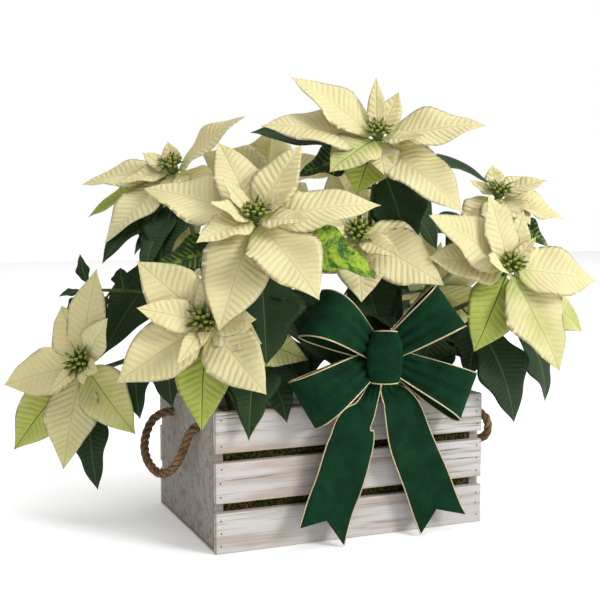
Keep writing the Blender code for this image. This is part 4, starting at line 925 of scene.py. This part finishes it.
def makeBow():
    velvet, gold = velvetFinish(), goldFinish()
    bands = [(loopRows(loop, bow["rowsLoop"]), 0, None) for loop in bow["loops"][:-1]]
    bands.append((loopRows(bow["loops"][-1], bow["rowsLoop"]), 0, bow["barrel"]))
    bands += [(tailRows(tail, bow["rowsTail"]), bow["notch"], None) for tail in bow["tails"]]
    bm = newBm()
    wires = newBm()
    length = 0
    for number, (rows, notch, barrel) in enumerate(bands):
        rows = list(rows)
        length += runLength([row[0] for row in rows])
        edges = addRibbon(bm, rows, number * 2.1, notch, barrel)
        for line in edges.values():
            steps = max(20, round(runLength(line) / (0.8 * mm)))
            fine = [pointAlong(line, step / steps) for step in range(steps + 1)]
            addTube(wires, fine, wireRadius, 6)
    ribbon = finishPiece("velvetRibbon", bm, velvet, ["bow"])
    solid = ribbon.modifiers.new("thickness", "SOLIDIFY")
    solid.thickness = bow["thickness"]
    solid.offset = 0
    edge = finishPiece("goldWireEdge", wires, gold)
    core = newBm()
    place = Matrix.Translation(bow["middle"]) @ Matrix.Diagonal((*bow["core"], 1))
    ball = bmesh.ops.create_uvsphere(core, u_segments=32, v_segments=20, radius=1, matrix=place)["verts"]
    for vert in ball:
        way = (vert.co - bow["middle"]).normalized()
        vert.co += way * bow["coreFold"] * mm * math.sin(bow["coreFolds"] * math.atan2(way.z, way.x))
    finishPiece("gatheredMiddle", core, velvet)
    print("bow: ribbon length", round(length, 3))
    return ribbon, edge, length


# Rope handles, three strands laid up, with a knot behind the board on each end

rope = {
    "routes": {
        "left": (
            (-148, 50, 124), (-154, 50, 124), (-160, 50, 124), (-171, 51, 122.5), (-182, 53, 116),
            (-191, 49, 103), (-197, 38, 87), (-197, 20, 73), (-191, -3, 65.5), (-183, -23, 73),
            (-177, -36, 89), (-173, -44.5, 105), (-169, -49, 118), (-162, -50, 123.7), (-155, -50, 124),
            (-148, -50, 124),
        ),
        "right": (
            (148, 50, 124), (154, 50, 124), (160, 50, 124), (170, 50, 121), (179, 47, 112), (186, 40, 100),
            (191, 24, 87), (194, 0, 80), (193, -28, 80), (190, -54, 84), (187.5, -72, 91), (186.5, -80, 102),
            (185, -78, 113), (179, -67, 121), (170, -55, 124), (162, -50.3, 124), (155, -50, 124),
            (148, -50, 124),
        ),
    },
    "diameter": 10 * mm, "lay": 26 * mm, "perSpan": 14, "sides": 30, "strands": 3, "groove": 0.32,
    "wisps": 150, "wispLength": (3 * mm, 9 * mm), "wispRadius": 0.1 * mm, "wispBend": 1.5,
    "wispPart": (0.12, 0.88),   # the share of the rope outside the board
}


def ropeFinish():
    skin = Finish("juteRope", **{"Specular IOR Level": 0.2})
    spot = skin.place()
    strand = skin.noise(spot, 520, 4.0, 0.65)
    slow = skin.noise(spot, 70, 3.0)
    colour = skin.mix(skin.step(slow, 0.3, 0.7), (0.13, 0.075, 0.033), (0.26, 0.155, 0.075))
    colour = skin.mix(skin.step(strand, 0.5, 0.75) * 0.7, colour, (0.44, 0.29, 0.16))
    colour = skin.mix(skin.step(strand, 0.45, 0.25) * 0.8, colour, (0.05, 0.027, 0.013))
    around, along = skin.parts(skin.own("run"))[:2]
    turns = around * 0.5 * rope["strands"] - along * (rope["strands"] / rope["lay"])
    lay = skin.maths("PINGPONG", turns, 0.5)
    # painted shade in the grooves between the strands
    colour = skin.mix((1 - skin.step(lay, 0.02, 0.2)) * 0.75, colour, (0.028, 0.016, 0.008))
    skin.bump(strand, 0.7 * mm, 0.8)
    return skin.paint(colour, 0.9)


def ropeRadius(angle, reached):
    turn = 2 * math.pi * reached / rope["lay"]
    ridge = abs(math.cos(rope["strands"] / 2 * (angle - turn)))
    yarn = 0.03 * math.sin(14 * (angle - turn) + 40 * math.pi * reached / rope["lay"])
    return rope["diameter"] / 2 * (1.02 - rope["groove"] + rope["groove"] * ridge + yarn)


def makeRopes():
    fibre = ropeFinish()
    for sideName, route in rope["routes"].items():
        path = splineThrough([Vector(point) * mm for point in route], rope["perSpan"])
        bm = newBm()
        addTube(bm, path, ropeRadius, rope["sides"])
        piece = finishPiece("jute_" + sideName, bm, fibre, ["rope_" + sideName])
        knots = [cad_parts[f"knot_{sideName}_{end}"] for end in ("back", "front")]
        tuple(path[0])
        runLength(path)
        for knot in knots:
            recoat(knot, fibre)
        draw = random.Random("wisps " + sideName)
        wisps = []
        for number in range(rope["wisps"]):
            spot = pointAlong(path, draw.uniform(*rope["wispPart"]))
            way = anyWay(draw).normalized()
            start = spot + way * rope["diameter"] * 0.42
            bend = anyWay(draw) * rope["wispBend"] * mm
            length = draw.uniform(*rope["wispLength"])
            end = start + (way + anyWay(draw)).normalized() * length * 0.5
            wisps.append([start, start.lerp(end, 0.5) + bend, end])
        finishStrands("ropeWisps_" + sideName, wisps, rope["wispRadius"], fibre)
    return fibre


# The crate: boards with eased, slightly uneven edges, and small nails

crate = {
    "length": 320 * mm, "easing": 1.0 * mm, "uneven": 0.35 * mm,
    "cutEvery": 9 * mm, "edgeCut": 2.2 * mm, "wearReach": 2.6 * mm,
    "holeRadius": 6 * mm, "holeY": 50 * mm, "holeZ": 124 * mm,
    "nailRadius": 0.95 * mm, "nailIn": 6.5 * mm, "nailsPerEnd": 3, "nailSink": 0.35,
    "nailSway": (-0.8, 0.8), "nailDrift": (-1.5, 1.5), "boardAngle": 35, "nailAngle": 40,
}


def woodFinish(name, grainTurn, paintedShade):
    # thin whitewash over grey-brown wood; the grain runs along X of the turned pattern; the last factor
    # darkens it all as painted shade
    skin = Finish(name, **{"Specular IOR Level": 0.25})
    wear = skin.parts(skin.own("tint"))[0]
    spot = skin.node("TexCoord", {}, {}, "Object")
    spot = skin.node("VectorMath", {"operation": "ADD"}, {0: spot, 1: skin.own("run")})

    def grain(scale, *look):
        return skin.noise(skin.node("Mapping", {}, {0: spot, 2: grainTurn, 3: scale}), 1.0, *look)
    streaks = grain((5, 95, 95), 6.0, 0.62, 0.25)
    lines = grain((9, 330, 330), 4.0, 0.6)
    patches = grain((7, 22, 22), 3.0, 0.5)
    speck = skin.noise(spot, 620, 3.0)
    white = skin.mix(patches, (0.40, 0.375, 0.355), (0.60, 0.585, 0.57))
    thin = skin.step(streaks, 0.46, 0.68) * (0.5 + patches * 0.5)
    colour = skin.mix(thin, white, (0.33, 0.285, 0.245))
    for one, other, share, bare in (
            (skin.step(lines, 0.53, 0.70), skin.step(patches, 0.38, 0.60), 0.9, (0.13, 0.105, 0.085)),
            (skin.step(lines, 0.60, 0.68), skin.step(streaks, 0.42, 0.56), 0.75, (0.17, 0.14, 0.12)),
            (skin.step(patches, 0.60, 0.40), skin.step(streaks, 0.44, 0.60), 0.45, (0.36, 0.25, 0.17))):
        colour = skin.mix(one * other * share, colour, bare)
    rubbed = skin.step(wear * 1.15 + (patches - 0.5) * 1.0 + (speck - 0.5) * 0.5, 0.62, 0.98)
    colour = skin.mix(rubbed * 0.8, colour, skin.mix(streaks, (0.24, 0.14, 0.08), (0.40, 0.28, 0.18)))
    # painted shade: the whole colour multiplied down, for the end boards
    colour = skin.mix(1.0, colour, paintedShade, "MULTIPLY")
    skin.bump(streaks * -0.5 + lines * -0.35 + speck * 0.2 + thin * -0.4, 0.8 * mm, 0.6)
    return skin.paint(colour, 0.72 + patches * 0.15)


def addBoard(bm, low, high, seed):
    made = bmesh.ops.create_cube(bm, size=1)["verts"]
    size, middle = high - low, (low + high) / 2
    for vert in made:
        vert.co = middle + Vector(vert.co[axis] * size[axis] for axis in range(3))
    edges = list({edge for vert in made for edge in vert.link_edges})
    bmesh.ops.bevel(bm, geom=edges, offset=crate["easing"], affect="EDGES", segments=2, profile=0.5,
                    material=-1)
    for axis in range(3):
        if size[axis] < 2 * crate["edgeCut"] + 2 * crate["easing"]:
            continue
        count = max(1, round(size[axis] / crate["cutEvery"]))
        places = [low[axis] + size[axis] * number / count for number in range(1, count)]
        places += [low[axis] + crate["edgeCut"], high[axis] - crate["edgeCut"]]
        for place in places:
            normal = (xAxis, yAxis, zAxis)[axis]
            bmesh.ops.bisect_plane(bm, geom=[*bm.verts, *bm.edges, *bm.faces], plane_co=normal * place,
                                   plane_no=normal, dist=1e-6)
    runLayer, tintLayer = bm.verts.layers.float_vector["run"], bm.verts.layers.float_vector["tint"]
    bm.normal_update()
    shift = Vector((seed * 0.37, seed * 0.19, seed * 0.11))
    for vert in bm.verts:
        gaps = sorted(min(vert.co[axis] - low[axis], high[axis] - vert.co[axis]) for axis in range(3))
        vert[tintLayer] = (1 - blendStep(0, crate["wearReach"], gaps[1]), seed, 0)
        vert[runLayer] = shift
    for vert in bm.verts:
        dent = 0.5 + 0.5 * noise.noise(Vector((vert.co.x * 30, vert.co.y * 110, vert.co.z * 110)) + shift * 9)
        chip = vert[tintLayer][0] * max(0, noise.noise(vert.co * 160 + shift)) * 1.6
        vert.co -= vert.normal * crate["uneven"] * (dent + chip)


def makeCrate():
    slatWood = woodFinish("whitewashedSlat", (0, 0, 0), (1.0, 1.0, 1.0))
    # the end boards take the same wood, darkened as painted shade
    shadedEndWood = woodFinish("whitewashedEndShaded", (0, 0, math.radians(90)), (0.62, 0.60, 0.565))
    seed = 0
    for name in sorted(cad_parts):
        if not name.startswith(("slat_", "end_board", "bottom_panel")):
            continue
        seed += 1
        bm = newBm()
        low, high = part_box(name)
        addBoard(bm, low, high, seed)
        isEnd = name.startswith("end_board")
        piece = finishPiece("wood_" + name, bm, shadedEndWood if isEnd else slatWood, [name],
                            crate["boardAngle"])
        if isEnd:
            drill(piece)
    nails = newBm()
    draw = random.Random("nails")
    for name in sorted(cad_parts):
        if not name.startswith("slat_"):
            continue
        low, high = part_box(name)
        side = -1 if "front" in name else 1
        face = low.y if side < 0 else high.y
        for end in (-1, 1):
            for number in range(crate["nailsPerEnd"]):
                share = (number + 0.6) / (crate["nailsPerEnd"] + 0.2)
                out = crate["length"] / 2 - crate["nailIn"] + draw.uniform(*crate["nailSway"]) * mm
                height = low.z + (high.z - low.z) * share + draw.uniform(*crate["nailDrift"]) * mm
                spot = Vector((end * out, face, height)) - yAxis * side * crate["nailSink"] * mm
                turn = Matrix.Translation(spot) @ Matrix.Rotation(math.pi / 2, 4, "X")
                bmesh.ops.create_cone(nails, cap_ends=True, segments=12, radius1=crate["nailRadius"],
                                      radius2=crate["nailRadius"], depth=0.5 * mm, matrix=turn)
    metal = Finish("darkNail", **{"Metallic": 0.6})
    rust = metal.noise(metal.place(), 900, 2.0)
    metal.bump(rust, 0.2 * mm, 0.5)
    finishPiece("nails", nails, metal.paint(metal.mix(rust, (0.03, 0.022, 0.018), (0.09, 0.06, 0.045)), 0.6),
                (), crate["nailAngle"])


def drill(piece):  # the two rope holes of an end board
    cutters = newBm()
    middle = sum((Vector(corner) for corner in piece.bound_box), Vector()) / 8
    for side in (-1, 1):
        spot = Matrix.Translation((middle.x, side * crate["holeY"], crate["holeZ"]))
        bmesh.ops.create_cone(cutters, cap_ends=True, segments=40, radius1=crate["holeRadius"],
                              radius2=crate["holeRadius"], depth=60 * mm,
                              matrix=spot @ Matrix.Rotation(math.pi / 2, 4, "Y"))
    bit = addObject("drill", meshFrom("drill", cutters))
    cut = piece.modifiers.new("holes", "BOOLEAN")
    cut.operation = "DIFFERENCE"
    cut.object = bit
    bpy.context.view_layer.update()
    drilled = bpy.data.meshes.new_from_object(piece.evaluated_get(bpy.context.evaluated_depsgraph_get()))
    piece.modifiers.clear()
    piece.data = drilled
    drilled.set_sharp_from_angle(angle=math.radians(crate["boardAngle"]))
    bpy.data.objects.remove(bit)


# Moss: a lumpy bed with strands that stand out of it between the slats and on top

moss = {
    "strands": 5200, "length": (5 * mm, 13 * mm), "radius": 0.32 * mm, "frontShare": 0.62, "cell": 5 * mm,
    "lump": 1.6 * mm, "bend": 0.3, "gaps": (48.5, 101.5),   # the gaps between the slats, in millimetres
    "potMiddle": 74 * mm, "potReach": 69 * mm,
}


def mossFinish():
    skin = Finish("driedMoss", **{"Specular IOR Level": 0.2})
    patch = skin.noise(skin.place(), 120, 4.0, 0.6)
    fibre = skin.noise(skin.place(), 330, 3.0, 0.6)
    # the near-black mix is painted shade between the fibres; the lighter one is the moss's own colour
    dark = skin.mix(patch, (0.004, 0.0035, 0.0015), (0.020, 0.016, 0.006))
    mossOwnTone = skin.mix(patch, (0.05, 0.060, 0.008), (0.22, 0.20, 0.05))
    skin.bump(fibre, 1.2 * mm, 0.8)
    return skin.paint(skin.mix(skin.step(fibre, 0.40, 0.66), dark, mossOwnTone), 0.95)


def makeMoss():
    material = mossFinish()
    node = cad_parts["moss"]
    bm = newBm()
    bm.from_mesh(node.data)
    bmesh.ops.remove_doubles(bm, verts=bm.verts, dist=1e-6)
    bmesh.ops.subdivide_edges(bm, edges=[e for e in bm.edges if e.calc_length() > 3 * moss["cell"]], cuts=3,
                              use_grid_fill=True)
    bmesh.ops.triangulate(bm, faces=bm.faces)
    bm.normal_update()
    for vert in bm.verts:
        lump = 0.5 + 0.5 * noise.fractal(vert.co * 90, 1.0, 2.0, 3)
        vert.co -= vert.normal * moss["lump"] * max(0, min(1, lump))
    draw = random.Random("moss")
    low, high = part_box("moss")
    strands = []
    for number in range(moss["strands"]):
        side = draw.choice((-1, 1))
        x = draw.uniform(low.x + 8 * mm, high.x - 8 * mm)
        if draw.random() < moss["frontShare"]:
            gap = draw.choice(moss["gaps"]) * mm
            start = Vector((x, side * (high.y - 1.5 * mm), gap + draw.uniform(-6, 6) * mm))
            way = Vector((draw.uniform(-1, 1), side * draw.uniform(0, 0.5), draw.uniform(-0.7, 0.7)))
            limit = high.y + 1 * mm
        else:
            start = Vector((x, draw.uniform(low.y + 8 * mm, high.y - 8 * mm), high.z - 2 * mm))
            pots = [Vector((end * moss["potMiddle"], 0)) for end in (-1, 1)]
            if min((start.xy - pot).length for pot in pots) < moss["potReach"]:
                continue
            way = Vector((draw.uniform(-1, 1), draw.uniform(-1, 1), draw.uniform(0.2, 1)))
            limit = high.y
        way = way.normalized() * draw.uniform(*moss["length"])
        bend = anyWay(draw) * way.length * moss["bend"]
        line = [start, start + way * 0.5 + bend, start + way]
        for point in line:
            point.y = max(-limit, min(limit, point.y))
            point.x = max(low.x, min(high.x, point.x))
        strands.append(line)
    finishPiece("mossBed", bm, material, ["moss"])
    finishStrands("mossStrands", strands, moss["radius"], material)


# What stays as its solid only gets a finish

def soilFinish():
    skin = Finish("darkSoil", **{"Specular IOR Level": 0.2})
    crumb = skin.noise(skin.place(), 260, 5.0, 0.7)
    grain = skin.cells(skin.place(), 420)
    colour = skin.mix(crumb, (0.010, 0.006, 0.004), (0.055, 0.034, 0.02))
    colour = skin.mix(skin.step(grain, 0.25, 0.05) * 0.35, colour, (0.20, 0.17, 0.13))
    skin.bump(crumb + grain * 0.5, 3 * mm, 0.9)
    return skin.paint(colour, 0.95)


def potFinish():
    skin = Finish("thinPotPlastic", **{"Specular IOR Level": 0.45})
    grain = skin.noise(skin.place(), 500, 2.0)
    colour = skin.mix(grain, (0.018, 0.020, 0.018), (0.032, 0.035, 0.032))
    skin.bump(grain, 0.15 * mm, 0.4)
    return skin.paint(colour, 0.42 + grain * 0.12)


def pickFinish():
    skin = Finish("stainedPick", **{"Specular IOR Level": 0.3})
    grain = skin.noise(skin.place((300, 300, 20)), 1.0, 3.0)
    skin.bump(grain, 0.2 * mm, 0.5)
    return skin.paint(skin.mix(grain, (0.02, 0.09, 0.03), (0.06, 0.17, 0.07)), 0.6)


def dressSolids():
    for names, material, slot in (
            (("soil_left", "soil_right"), soilFinish(), "soil"),
            (("pot_left", "pot_right"), potFinish(), "pot_plastic"),
            (("bow_pick",), pickFinish(), "pick")):
        for name in names:
            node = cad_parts[name]
            recoat(node, material)


# Floor, light and camera

studio = {
    "floor": 12.0, "floorColour": (0.92, 0.92, 0.92), "floorGlow": 0.22,
    "backdrop": 1.0, "skyLeft": 0.42, "skyRight": 0.80,
    "lamps": (   # name, place, aim, size, watts
        ("key", (3.6, -4.6, 3.3), (0.0, 0.0, 0.25), 2.0, 290),
        ("top", (0.6, -0.4, 6.2), (0.0, 0.0, 0.22), 4.0, 165),
    ),
    "camera": (-0.499, -1.1574, 0.3622), "yaw": -22.4786, "pitch": -4.970, "lens": 64.92, "sensor": 36,
}


def makeStudio():
    bm = bmesh.new()
    bmesh.ops.create_grid(bm, x_segments=1, y_segments=1, size=studio["floor"] / 2)
    mesh = meshFrom("floor", bm)
    skin = Finish("paleFloor", **{"Roughness": 0.9, "Specular IOR Level": 0.1})
    skin.shader.inputs["Emission Color"].default_value = (1, 1, 1, 1)
    skin.shader.inputs["Emission Strength"].default_value = studio["floorGlow"]
    mesh.materials.append(skin.paint(studio["floorColour"]))
    floor = addObject("floor", mesh)
    world = bpy.data.worlds.new("studio")
    world.use_nodes = True
    tree = world.node_tree
    kinds = ("TexCoord", "SeparateXYZ", "MapRange", "LightPath", "Mix")
    spot, split, slope, path, either = [tree.nodes.new("ShaderNode" + kind) for kind in kinds]
    sky = tree.nodes["Background"]
    for start, end in (
            (spot.outputs["Generated"], split.inputs[0]), (split.outputs["X"], slope.inputs[0]),
            (path.outputs["Is Camera Ray"], either.inputs[0]), (slope.outputs[0], either.inputs[2]),
            (either.outputs[0], sky.inputs["Strength"])):
        tree.links.new(start, end)
    slope.inputs[1].default_value = -1
    slope.inputs[3].default_value = studio["skyLeft"]
    slope.inputs[4].default_value = studio["skyRight"]
    either.inputs[3].default_value = studio["backdrop"]
    sky.inputs["Color"].default_value = (1, 1, 1, 1)
    bpy.context.scene.world = world
    bpy.context.scene.view_settings.view_transform = "Standard"
    for name, place, aim, size, watts in studio["lamps"]:
        lamp = bpy.data.lights.new(name, "AREA")
        lamp.size = size
        lamp.energy = watts
        holder = addObject(name, lamp)
        holder.location = place
        holder.rotation_euler = (Vector(aim) - Vector(place)).to_track_quat("-Z", "Y").to_euler()
    lens = bpy.data.cameras.new("camera")
    lens.lens = studio["lens"]
    lens.sensor_width = studio["sensor"]
    camera = addObject("camera", lens)
    camera.location = studio["camera"]
    camera.rotation_euler = (math.radians(90 + studio["pitch"]), 0, math.radians(studio["yaw"]))
    bpy.context.scene.camera = camera


makeStudio()
makeRopes()
print("studio and ropes done")
makeCrate()
makeMoss()
dressSolids()
print("crate, nails and moss done")

bracts = bladeFinish("creamBract", True)
leaves = bladeFinish("darkLeaf", False)
stems = stemFinish()
cups, spikes = cupFinish(), spikeFinish()
for name in blooms:
    count = makeBloom(name, bracts, stems)
    makeCups(name, cups, spikes)
    print("flower head", name, count, "bracts")
for name in plants:
    count = makePlant(name, leaves, stems)
    print("plant", name, count, "leaves")

ribbon, edge, ribbonLength = makeBow()

graph = bpy.context.evaluated_depsgraph_get()
total = 0
for piece in pieces.values():
    mesh = piece.evaluated_get(graph).to_mesh()
    mesh.calc_loop_triangles()
    total += len(mesh.loop_triangles)
print("pieces:", len(pieces), "triangles:", total)
